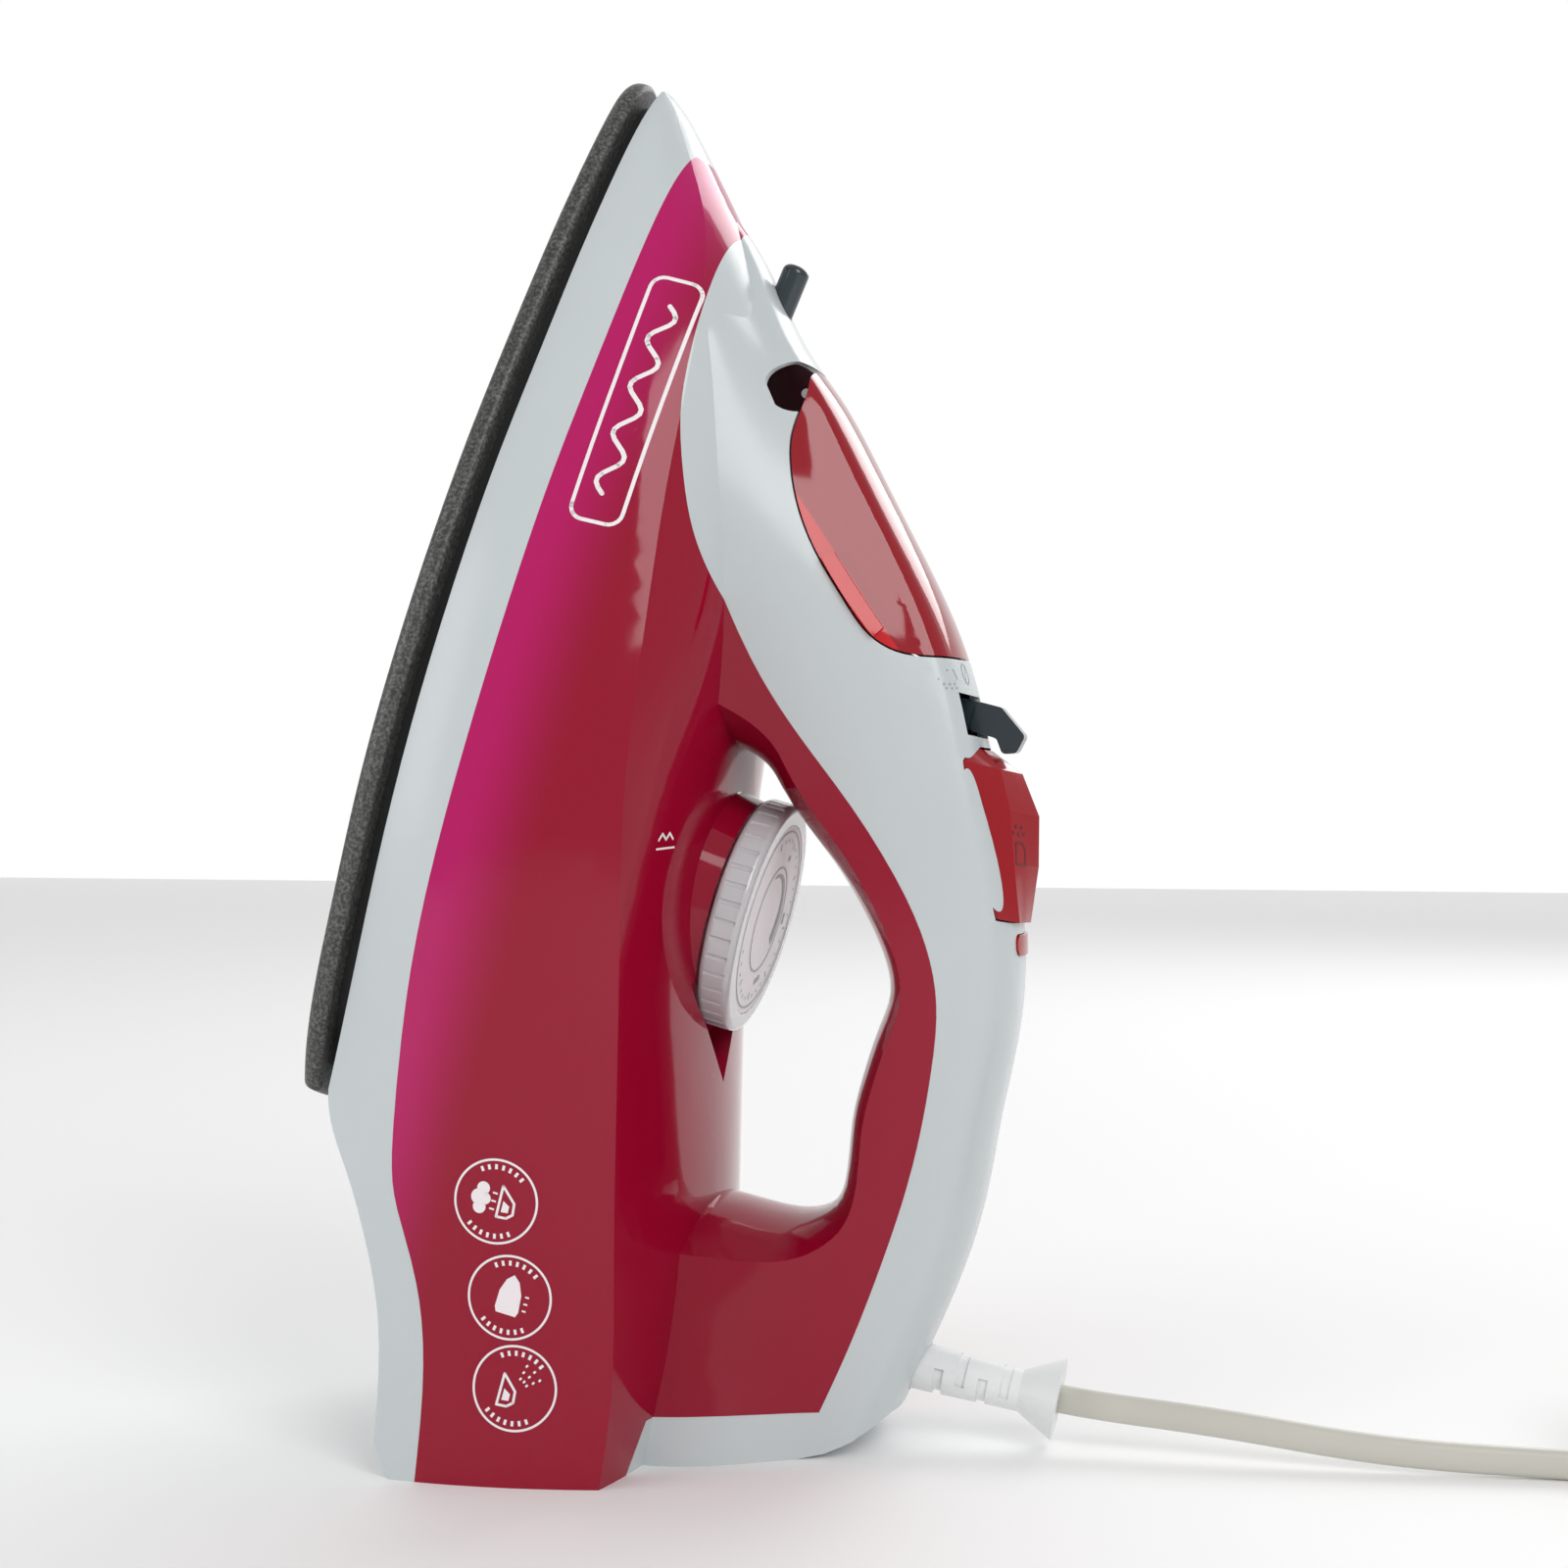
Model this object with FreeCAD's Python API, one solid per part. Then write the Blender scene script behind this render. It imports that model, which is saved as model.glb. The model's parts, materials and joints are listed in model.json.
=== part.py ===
import FreeCAD, Part
import math
import os

# A steam iron standing on its heel. Each piece is drawn in the bench frame, as if the iron lay on
# its soleplate: x runs back from the nose, y across, z up from the sole's face. stand() then turns
# the piece onto the heel. Millimetres throughout.

# overall sizes; the outlines below are drawn for 221 x 110 x 134 and follow these three
soleLength = 221.0
soleWidth = 110.0
handleHeight = 134.0
lean = 15.2  # angle of the standing sole from vertical, degrees

# sole and heater
soleThickness = 4.5
collarHeight = 3.0
collarInset = 5.0
castingInset = 9.0
castingHeight = 9.5
castingGap = 0.4
chamberDepth = 4.0
gasketThickness = 0.5
coverThickness = 1.2
heaterRadius = 3.2
steamHoleRadius = 1.7

# mouldings
wall = 2.2
floorThickness = 2.0
bulkheadPlace = 224.6
seamGap = 0.15
rearCoverHeight = 9.5

# temperature dial
dialPlace = 164.0
dialRadius = 24.7
dialBack = 68.0
dialThickness = 7.0
discRadius = 20.5
discThickness = 0.8
pedestalRadius = 23.5
pedestalGap = 0.5
recessGap = 1.2
recessPoint = 10.0
shaftRadius = 3.0
shaftGap = 0.06
shaftTubeRadius = 6.0

# filler door, turning about a pin across its front end
doorAxis = (56.0, 55.3)
doorSkin = 1.9
doorGap = 0.4
doorTipRadius = 5.1
doorPinRadius = 1.0
doorPinHalf = 6.0
doorPinGap = 0.05
hingeBossRadius = 1.9
funnelWall = 1.5

# steam lever and drip valve
leverPlace = 111.5
leverAxisHeight = 90.0
leverHubRadius = 2.6
leverPinRadius = 1.1
leverPinGap = 0.06
leverArm = 6.0
leverSwing = 28.0  # degrees, and the slot is as long as the arm's swing
needleRadius = 1.6
needleGap = 0.4
seatRadius = 4.6

# spray and steam-burst buttons with their pumps
buttonGap = 0.4
buttonTravel = 5.0
pumpPlace = 126.5
pumpOffset = 8.0
barrelRadius = 6.0
barrelBore = 4.7
barrelFoot = 76.0
barrelTop = 94.0
pistonGap = 0.08
pistonLength = 6.0
rodRadius = 1.9
springRadius = 3.4
springWire = 0.7
springTurns = 5

# cord guard, cord, coil and plug
wireRadius = 1.2
guardPlace = 244.6
guardTilt = -4.5  # degrees from the bench upright, toward the nose
guardLength = 33.0
guardRadius = 5.0
guardNeckRadius = 4.3
guardMouthRadius = 8.4
guardBore = 3.1
cordDiameter = 5.6
coilRadius = 32.0
coilThickness = 21.0
tieThickness = 0.9
coilCentre = (224.0, 11.0)
plugAside = 18.0  # the plug lies across the ring, off its middle
plugLength = 34.0

# drawn sizes that the outlines were made for
drawnLength = 221.0
drawnWidth = 110.0
drawnHeight = 134.0
drawnFoot = 7.5

skirtFoot = soleThickness + collarHeight
lengthScale = soleLength / drawnLength
widthScale = soleWidth / drawnWidth
heightScale = (handleHeight - skirtFoot) / (drawnHeight - drawnFoot)
castingTop = soleThickness + castingHeight
coverFoot = castingTop + gasketThickness
tankFloorHeight = 26.0


def along(s):
    return s * lengthScale


def up(h):
    return skirtFoot + (h - drawnFoot) * heightScale if h > 0 else h


def across(y):
    return y * widthScale


def at(s, h, y=0.0):
    """A point of an outline, in the bench frame."""
    return FreeCAD.Vector(along(s), y, up(h))


# the heel rests on the floor: the floor line in the bench frame, s = heelStart - heelSlope * h
heelSlope = math.tan(math.radians(lean))
heelStart = along(295.7)
standOffset = -17.25  # sets the middle of the iron's depth at zero


def heelAt(z):
    return heelStart - heelSlope * z


def stand(shape):
    """Turn a bench piece onto the heel, with the floor at zero and the body centred on X and Y."""
    turned = shape.copy()
    turned.rotate(FreeCAD.Vector(), FreeCAD.Vector(0, 1, 0), 90 + lean)
    turned.translate(FreeCAD.Vector(standOffset, 0, heelStart * math.cos(math.radians(lean))))
    return turned


def save(name, shape):
    shape.exportStep("parts/" + name + ".step")
    print(name, round(shape.Volume), len(shape.Solids))


def spline(points):
    curve = Part.BSplineCurve()
    curve.interpolate(points)
    return curve.toShape()


def sidePrism(curve, corners, half=90.0, first=None):
    """A block across the iron: a smooth curve in side view, closed by straight lines."""
    ends = [curve[-1]] + corners + [curve[0]]
    edges = [spline([FreeCAD.Vector(p.x, 0, p.z) for p in curve])]
    edges += [Part.makeLine(a, b) for a, b in zip(ends[:-1], ends[1:])]
    face = Part.Face(Part.Wire(edges))
    face.translate(FreeCAD.Vector(0, -half if first is None else first, 0))
    return face.extrude(FreeCAD.Vector(0, half if first is not None else 2 * half, 0))


def blockSide(corners, first, last):
    """A block from a straight-sided outline in side view, between two places across."""
    face = Part.Face(Part.makePolygon(corners + corners[:1]))
    face.translate(FreeCAD.Vector(0, first, 0))
    return face.extrude(FreeCAD.Vector(0, last - first, 0))


def box(low, high):
    return Part.makeBox(high[0] - low[0], high[1] - low[1], high[2] - low[2], FreeCAD.Vector(*low))


def upright(place, y, low, high, radius):
    return Part.makeCylinder(radius, high - low, FreeCAD.Vector(along(place), y, low))


# ---------------------------------------------------------------- outer form
# body sections: place, foot half-width, belly half-width and height, shoulder half-width and
# height, half-width and height half way up the top, crown height
bodySections = [
    (1.2, 3.2, 3.3, 7.9, 2.6, 8.3, 1.4, 8.7, 8.9),
    (8, 9.8, 10.0, 11.0, 7.2, 14.5, 3.8, 16.0, 16.4),
    (16, 15.0, 15.6, 13.5, 11.6, 20.5, 6.5, 22.7, 23.5),
    (27, 20.6, 21.6, 16.5, 17.5, 28.0, 9.5, 31.6, 32.8),
    (43, 27.6, 29.0, 18.5, 25.0, 34.0, 14.5, 41.0, 43.5),
    (62, 34.6, 36.4, 19.5, 32.5, 38.0, 19.0, 47.0, 50.5),
    (86, 43.0, 44.8, 20.0, 40.5, 42.0, 24.0, 52.5, 56.5),
    (112, 49.0, 51.0, 20.0, 46.0, 46.5, 27.0, 56.5, 60.0),
    (140, 52.3, 54.6, 20.0, 48.5, 51.0, 28.5, 59.5, 62.5),
    (170, 51.8, 54.6, 21.0, 48.6, 58.0, 28.5, 64.5, 67.0),
    (200, 48.6, 52.8, 23.0, 48.5, 65.5, 28.0, 71.5, 74.5),
    (230, 46.6, 51.2, 28.0, 48.2, 73.0, 28.0, 79.0, 82.5),
    (260, 45.6, 50.0, 36.0, 47.8, 80.0, 28.0, 84.5, 86.5),
    (300, 44.8, 49.4, 45.0, 47.2, 88.0, 28.0, 91.0, 93.0),
]

# handle sections, from the nose over the grip to the heel: place, half-width and height low down,
# at the waist and where the rounded top starts, and the top's height
handleSections = [
    (21, 9.0, 18.0, 6.0, 22.0, 4.0, 24.0, 27.0),
    (27, 12.5, 20.0, 8.8, 27.0, 6.0, 30.5, 34.0),
    (36, 18.0, 24.0, 13.0, 34.0, 9.2, 38.0, 42.3),
    (47, 25.0, 28.0, 18.5, 42.0, 12.5, 47.0, 52.0),
    (62, 30.5, 32.0, 21.5, 52.0, 15.5, 61.5, 68.2),
    (80, 32.5, 36.0, 22.0, 64.0, 16.2, 77.0, 84.5),
    (100, 30.5, 44.0, 21.0, 78.0, 16.5, 93.0, 100.8),
    (118, 28.0, 50.0, 19.8, 88.0, 16.6, 103.0, 110.8),
    (136, 26.0, 55.0, 18.8, 98.0, 16.4, 112.0, 120.4),
    (152, 25.0, 60.0, 18.2, 106.0, 16.0, 118.5, 127.4),
    (175, 24.5, 58.0, 18.0, 110.0, 16.2, 122.0, 132.0),
    (205, 25.0, 64.0, 18.4, 112.0, 16.8, 123.5, 134.0),
    (232, 26.5, 70.0, 20.0, 111.0, 17.6, 121.5, 132.4),
    (252, 28.5, 73.0, 22.0, 106.0, 18.4, 117.5, 129.0),
    (285, 29.5, 76.0, 24.0, 100.0, 19.0, 110.0, 121.0),
]

# the finger gap in side view: up the front post, under the grip, down the rear post
gapOutline = [
    (135, 70), (143, 79), (150, 88), (157, 95.2), (164, 101), (171, 104.2), (178, 103.8),
    (187, 103.2), (197, 103.3), (208, 105), (215, 104.6), (219.5, 100), (221.5, 91), (222, 79),
    (221, 62), (205, 50), (180, 45), (150, 44), (134, 50), (131, 60),
]


def mirrored(half):
    """Points of one side, then the same ones on the other side in return order."""
    left = [FreeCAD.Vector(p.x, -p.y, p.z) for p in half]
    return left + half[::-1]


def bodySection(row, inset):
    s, foot, belly, bellyUp, shoulder, shoulderUp, top, topUp, crown = row
    x = along(s)
    low = skirtFoot if inset == 0 else skirtFoot - 3
    side = [
        FreeCAD.Vector(x, across(foot) - inset, low),
        FreeCAD.Vector(x, across(belly) - inset, up(bellyUp)),
        FreeCAD.Vector(x, across(shoulder) - inset, up(shoulderUp) - 0.45 * inset),
    ]
    roof = mirrored([side[2], FreeCAD.Vector(x, across(top) - inset / 2, up(topUp) - inset)])
    roof.insert(2, FreeCAD.Vector(x, 0, up(crown) - inset))
    left = [FreeCAD.Vector(p.x, -p.y, p.z) for p in side]
    return Part.Wire([spline(left), spline(roof), spline(side[::-1]), Part.makeLine(side[0], left[0])])


def handleSection(row, inset):
    s, low, lowUp, waist, waistUp, brow, browUp, crown = row
    x = along(s)
    half = [
        FreeCAD.Vector(x, across(low) - inset, up(lowUp)),
        FreeCAD.Vector(x, across(waist) - inset, up(waistUp)),
        FreeCAD.Vector(x, across(brow) - inset, up(browUp)),
    ]
    rise = up(crown) - up(browUp) - inset
    for angle in (28, 52, 72):
        turn = math.radians(angle)
        y = (across(brow) - inset) * math.cos(turn) ** 0.87
        half.append(FreeCAD.Vector(x, y, up(browUp) + rise * math.sin(turn) ** 0.87))
    points = mirrored(half)
    points.insert(len(half), FreeCAD.Vector(x, 0, up(crown) - inset))
    return Part.Wire([spline(points), Part.makeLine(points[-1], points[0])])


def bodyLoft(inset=0.0):
    rows = bodySections if inset == 0 else bodySections[1:]
    return Part.makeLoft([bodySection(row, inset) for row in rows], True, False)


def handleLoft(inset=0.0):
    rows = handleSections if inset == 0 else handleSections[1:]
    return Part.makeLoft([handleSection(row, inset) for row in rows], True, False)


def grown(outline, distance):
    """A closed outline with each point moved out by a distance."""
    n = len(outline)
    out = []
    for i, point in enumerate(outline):
        run = outline[(i + 1) % n] - outline[i - 1]
        side = FreeCAD.Vector(-run.z, 0, run.x)
        side.normalize()
        out.append(point + side * distance)
    return out


def fingerGap(grow):
    """The finger gap as a solid that widens toward both sides, so that its edges are rounded."""
    outline = [at(s, h) for s, h in gapOutline]
    wires = []
    for y, flare in ((-34, 15), (-24, 9), (-17, 4.2), (-9, 1.2), (0, 0.3), (9, 1.2), (17, 4.2), (24, 9), (34, 15)):
        ring = grown(outline, flare + grow)
        curve = Part.BSplineCurve()
        curve.interpolate([FreeCAD.Vector(p.x, across(y), p.z) for p in ring], PeriodicFlag=True)
        wires.append(Part.Wire(curve.toShape()))
    return Part.makeLoft(wires, True, False)


def standing(inset):
    """The side outline of the whole body: under the heel's overhang and along the floor."""
    z0 = skirtFoot + inset if inset else -6.0
    curve = [at(215.5, 7.5), at(222, 10.2), at(229, 15.6), at(238, 21.8), at(253, 29.4), at(270, 34.2), at(279, 36)]
    curve = [FreeCAD.Vector(p.x - 0.4 * inset, 0, p.z + inset) for p in curve]
    low = up(41.5)
    high = up(113.0)
    corners = [
        FreeCAD.Vector(heelAt(low) - inset - 1.2, 0, low - 2.2 + inset),
        FreeCAD.Vector(heelAt(low) - inset, 0, low + inset),
        FreeCAD.Vector(heelAt(high) - inset, 0, high),
        FreeCAD.Vector(heelAt(up(118)) - inset - 1.0, 0, up(118)),
        FreeCAD.Vector(heelAt(up(122.5)) - inset - 3.4, 0, up(122.5)),
        FreeCAD.Vector(heelAt(up(128)) - inset - 8.0, 0, up(128)),
        FreeCAD.Vector(heelAt(up(150)) - inset - 10, 0, up(150)),
        FreeCAD.Vector(-20, 0, up(150.0)),
        FreeCAD.Vector(-20, 0, z0),
    ]
    if z0 < curve[0].z - 0.01:
        corners.append(FreeCAD.Vector(curve[0].x, 0, z0))
    return sidePrism(curve, corners)


def dialRecess(grow):
    """The room round the dial, drawn out to a point where the roof rises toward the heel."""
    low = pedestalTop() - grow
    radius = dialRadius + recessGap + grow
    middle = along(dialPlace)
    disc = Part.makeCylinder(radius, 40, FreeCAD.Vector(middle, 0, low))
    side = FreeCAD.Vector(middle + 0.5 * radius, 0.866 * radius, low)
    tip = Part.Face(Part.makePolygon([
        FreeCAD.Vector(middle, 0, low), FreeCAD.Vector(side.x, -side.y, low),
        FreeCAD.Vector(middle + radius + recessPoint, 0, low), side, FreeCAD.Vector(middle, 0, low)]))
    return disc.fuse(tip.extrude(FreeCAD.Vector(0, 0, 40)))


def outerForm():
    grip = handleLoft().cut(fingerGap(0.0))
    hull = bodyLoft().cut(dialRecess(0.0))
    return hull.fuse(grip).common(standing(0.0))


def innerForm():
    grip = handleLoft(wall).cut(fingerGap(wall))
    hull = bodyLoft(wall).cut(dialRecess(wall))
    return hull.fuse(grip).common(standing(wall))


# ---------------------------------------------------------------- parting lines in side view
skirtLine = [
    (14, 20.2), (22, 20), (45, 20), (90, 20), (143, 20), (190, 20.5), (205, 22.2), (220, 24.6),
    (229, 27), (238, 32), (248, 37.4), (260, 41.6), (275, 45), (305, 50),
]
shellLine = [
    (22, 32.6), (30, 33.6), (42, 34.8), (54, 36.2), (66, 38.4), (79, 42.8), (91, 48.2),
    (103, 56), (114, 64.8), (124, 75.4), (134, 88), (145, 100.2), (156, 109.6), (168, 115.8),
    (182, 118.6), (201, 120), (222, 119.2), (238, 117.6), (250, 115.8),
]


def skirtRegion():
    curve = [at(s, h) for s, h in skirtLine]
    corners = [
        FreeCAD.Vector(curve[-1].x, 0, -20),
        FreeCAD.Vector(-20, 0, -20),
        FreeCAD.Vector(-20, 0, up(60)),
        FreeCAD.Vector(along(14), 0, up(60)),
    ]
    return sidePrism(curve, corners)


def shellRegion():
    curve = [at(s, h) for s, h in shellLine]
    floorLine = rearCoverHeight / math.cos(math.radians(lean))
    corners = [
        FreeCAD.Vector(heelAt(up(115.0)) - floorLine, 0, up(115.0)),
        FreeCAD.Vector(heelAt(up(160)) - floorLine, 0, up(160)),
        FreeCAD.Vector(along(18), 0, up(160)),
        FreeCAD.Vector(along(18), 0, up(32.6)),
    ]
    return sidePrism(curve, corners)


def rearRegion():
    """The slab at the foot of the rear post."""
    floorLine = rearCoverHeight / math.cos(math.radians(lean))
    low = up(84.0)
    high = up(160.0)
    corners = [
        FreeCAD.Vector(heelAt(low) - floorLine, 0, low),
        FreeCAD.Vector(heelAt(high) - floorLine, 0, high),
        FreeCAD.Vector(heelAt(high) + 20, 0, high),
        FreeCAD.Vector(heelAt(low) + 20, 0, low),
    ]
    return blockSide(corners, -90, 90)


# ---------------------------------------------------------------- sole
solePoints = [
    (3.2, 8.0), (9, 12.6), (20, 18.8), (35, 26.0), (56, 34.4), (80, 43.0), (106, 49.8),
    (131, 53.8), (155, 54.9), (180, 53.0), (203, 49.6),
]


def soleOutline(inset):
    """The soleplate's outline, a rounded nose and a rounded rear, moved in by a distance."""
    half = [FreeCAD.Vector(along(s), across(w), 0) for s, w in solePoints]
    moved = []
    for i, point in enumerate(half):
        run = half[min(i + 1, len(half) - 1)] - half[max(i - 1, 0)]
        side = FreeCAD.Vector(run.y, -run.x, 0)
        side.normalize()
        moved.append(point + side * inset)
    moved = [p for p in moved if p.y > 3.0]
    nose = FreeCAD.Vector(moved[0].x - 0.4 * moved[0].y, 0, 0)
    corner = FreeCAD.Vector(along(217.5) - inset, across(43.5) - inset, 0)
    rear = FreeCAD.Vector(soleLength - inset, 0, 0)
    near = FreeCAD.Vector(soleLength - inset - 0.4, across(30) - inset, 0)
    left = [nose] + moved + [corner]
    right = [FreeCAD.Vector(p.x, -p.y, 0) for p in left]
    bow = [corner, near, rear, FreeCAD.Vector(near.x, -near.y, 0), right[-1]]
    return Part.Wire([spline(right), spline(bow[::-1]), spline(left[::-1])])


def castingRoom(gap, low, high):
    """The casting's outline with a gap all round."""
    return plate(castingInset - gap, low, high)


def plate(inset, low, high):
    face = Part.Face(soleOutline(inset))
    face.translate(FreeCAD.Vector(0, 0, low))
    return face.extrude(FreeCAD.Vector(0, 0, high - low))


def steamHoles():
    """Two curved rows along the edges and a cluster at the nose."""
    places = []
    for i in range(11):
        s = 46 + 14.5 * i
        w = 0.62 * 54 * math.sin(math.pi * min(s, 150) / 300) ** 0.9
        places += [(s, w), (s, -w)]
    for i in range(4):
        places += [(24 + 9 * i, 0)]
    return places


def buildSole():
    sole = plate(0.0, 0.0, soleThickness)
    rim = [e for e in sole.Edges if abs(e.BoundBox.ZMax) < 1e-6 and e.BoundBox.ZLength < 1e-6]
    sole = sole.makeFillet(min(2.6, 0.6 * soleThickness), rim)
    top = [
        e for e in sole.Edges
        if abs(e.BoundBox.ZMin - soleThickness) < 1e-6 and e.BoundBox.ZLength < 1e-6
    ]
    sole = sole.makeFillet(min(1.2, 0.27 * soleThickness), top)
    for s, y in steamHoles():
        sole = sole.cut(upright(s, across(y), -1, soleThickness + 1, steamHoleRadius))
    return sole


def heaterPath():
    """The U of the heating tube, from one rear tail round the nose to the other."""
    z = castingTop - heaterRadius - 0.6
    half = [(206, 30), (178, 37), (140, 38), (100, 33), (66, 20)]
    points = [FreeCAD.Vector(along(s), across(y), z) for s, y in half]
    points += [FreeCAD.Vector(along(48), 0, z)]
    points += [FreeCAD.Vector(along(s), -across(y), z) for s, y in half[::-1]]
    return points


def tube(points, radius, quiet=True):
    """A round tube along straight runs joined by tangent arcs as large as the runs allow."""
    edges = []
    start = points[0]
    smallest = 1e9
    for before, corner, after in zip(points[:-2], points[1:-1], points[2:]):
        a = corner - before
        b = after - corner
        turn = a.getAngle(b)
        reach = 0.45 * min(a.Length, b.Length)
        bend = reach / math.tan(turn / 2)
        smallest = min(smallest, bend)
        enter = corner - a.normalize() * reach
        leave = corner + b.normalize() * reach
        inward = (b - a).normalize()
        middle = corner + inward * (bend / math.cos(turn / 2) - bend)
        edges.append(Part.LineSegment(start, enter).toShape())
        edges.append(Part.Arc(enter, middle, leave).toShape())
        start = leave
    edges.append(Part.LineSegment(start, points[-1]).toShape())
    path = Part.Wire(edges)
    ahead = points[1] - points[0]
    ring = Part.Wire(Part.Circle(points[0], ahead, radius).toShape())
    pipe = path.makePipeShell([ring], True, True)
    if not quiet:
        share = pipe.Volume / (math.pi * radius ** 2 * path.Length)
        print("tube", round(path.Length, 1), "smallest bend", round(smallest, 1), "share", round(share, 4))
    return pipe


def buildHeater():
    return tube(heaterPath(), heaterRadius)


def buildCasting():
    """The aluminium block: heater channel, a sunk steam chamber and the thermostat's seat."""
    block = plate(castingInset, soleThickness, castingTop)
    chamber = box((along(70), -across(22), castingTop - chamberDepth), (along(140), across(22), castingTop + 1))
    path = heaterPath()
    block = block.cut(tube(path, heaterRadius + 0.1))
    block = block.cut(chamber)
    for s, y in steamHoles():
        if 70 < s < 140:
            block = block.cut(upright(s, across(y), soleThickness - 1, castingTop - 1, steamHoleRadius))
    for s, y in screwPosts():
        block = block.cut(upright(s, y, castingTop - 6, castingTop + 1, 1.25))
    return block


def screwPosts():
    return [(58, 0.0), (192, -across(14)), (192, across(14))]


def chamberPlate(low, high, inset):
    x0, x1, half = along(62), along(148), across(30)
    slab = box((x0 + inset, -half + inset, low), (x1 - inset, half - inset, high))
    slab = slab.makeFillet(6, [e for e in slab.Edges if e.BoundBox.ZLength > 0.9 * (high - low)])
    slab = slab.cut(upright(58, 0.0, low - 1, high + 1, 5))
    return slab


def buildGasket():
    ring = chamberPlate(castingTop, coverFoot, 0.8)
    return ring.cut(box((along(72), -across(20), 0), (along(138), across(20), 60)))


def buildChamberCover():
    cover = chamberPlate(coverFoot, coverFoot + coverThickness, 0.0)
    return cover.cut(upright(leverPlace, 0, 0, 60, 2.2))


def buildCollar():
    ring = plate(collarInset, soleThickness, skirtFoot)
    return ring.cut(castingRoom(castingGap, soleThickness - 1, skirtFoot + 1))


# ---------------------------------------------------------------- mouldings
def buildSkirt(skin):
    skirt = skin.common(skirtRegion())
    skirt = skirt.cut(castingRoom(castingGap, skirtFoot - 2, skirtFoot + wall + 2.5))
    return largest(skirt)


def largest(shape):
    return max(shape.Solids, key=lambda solid: solid.Volume)


def pedestal(radius, low, high):
    """The round stand under the dial, a little wider at its foot."""
    return Part.makeCone(radius + 3.0, radius, high - low, FreeCAD.Vector(along(dialPlace), 0, low))


def pedestalTop():
    return up(dialBack) - pedestalGap


def buildTank(skin):
    tank = skin.cut(skirtRegion()).cut(shellRegion()).cut(rearRegion())
    tank = largest(tank)
    top = pedestalTop()
    raised = pedestal(pedestalRadius, up(54), top).cut(pedestal(pedestalRadius - wall, up(50), top - wall))
    tank = tank.fuse(raised.cut(bodyLoft(wall)))
    guide = upright(dialPlace, 0, tankFloorHeight, top - 1, shaftTubeRadius)
    tank = tank.fuse(guide)
    tank = tank.cut(upright(dialPlace, 0, 0, 200, shaftRadius + 0.9))
    return largest(tank)


def deckStrip(shift, thickness):
    """The closing deck under the white shell, which follows the parting line."""
    line = [(s, h) for s, h in shellLine if 30 <= s <= 130]
    upper = [at(s, h - shift) for s, h in line]
    lower = [at(s, h - shift - thickness) for s, h in line][::-1]
    edges = [spline(upper), Part.makeLine(upper[-1], lower[0]), spline(lower), Part.makeLine(lower[-1], upper[0])]
    face = Part.Face(Part.Wire(edges))
    face.translate(FreeCAD.Vector(0, -80, 0))
    return face.extrude(FreeCAD.Vector(0, 160, 0))


def buildDeck(inside):
    deck = inside.common(deckStrip(2.0, 1.8))
    deck = deck.cut(funnelBlock(seamGap))
    deck = deck.cut(upright(leverPlace, 0, 0, 200, needleRadius + needleGap))
    for side in (-1, 1):
        deck = deck.cut(upright(pumpPlace, side * pumpOffset, 0, 200, barrelRadius + 0.3))
    return largest(deck)


def buildBulkhead(inside):
    """The tank's rear wall, with the dry space for the wires behind it."""
    x = along(bulkheadPlace)
    low = tankFloorHeight + floorThickness
    return largest(inside.common(box((x, -90, low), (x + floorThickness, 90, up(83)))))


def buildTankFloor(inside):
    slab = box((0, -90, tankFloorHeight), (along(bulkheadPlace) + floorThickness, 90, tankFloorHeight + floorThickness))
    deck = inside.common(slab)
    deck = deck.cut(upright(dialPlace, 0, 0, 60, shaftTubeRadius + 0.2))
    deck = deck.cut(upright(leverPlace, 0, 0, 60, seatRadius - 1.2))
    for s, y in screwPosts():
        deck = deck.cut(upright(s, y, 0, 60, 1.9))
    return largest(deck)


def buildFloorSeal(inside):
    low = tankFloorHeight + floorThickness
    slab = box((0, -90, low), (along(205), 90, low + 1.6))
    ring = inside.common(slab)
    centre = bodyLoft(wall + 3.0)
    return largest(ring.cut(centre))


# ---------------------------------------------------------------- filler
doorOutline = [
    (56, 57.6), (60, 57.8), (66, 58.2), (72, 60), (80, 64), (88, 70), (95.5, 77.6), (101, 84.4),
    (102.6, 90), (102, 96), (100.4, 103),
]


def doorArea(grow):
    """The door in side view: its front end is an arc about the hinge, grown by a gap."""
    curve = [at(s, h) for s, h in doorOutline]
    moved = []
    for i, point in enumerate(curve):
        run = curve[min(i + 1, len(curve) - 1)] - curve[max(i - 1, 0)]
        side = FreeCAD.Vector(run.z, 0, -run.x)
        side.normalize()
        moved.append(point + side * grow)
    axis = at(*doorAxis)
    reach = doorTipRadius + grow
    front = axis + FreeCAD.Vector(-reach * math.cos(0.25), 0, reach * math.sin(0.25))
    tip = axis + FreeCAD.Vector(-reach * 0.8, 0, reach * 1.6)
    corners = [at(100.4, 125) + FreeCAD.Vector(grow, 0, 0), FreeCAD.Vector(tip.x, 0, at(100, 125).z), tip, front]
    return sidePrism(moved, corners)


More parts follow.
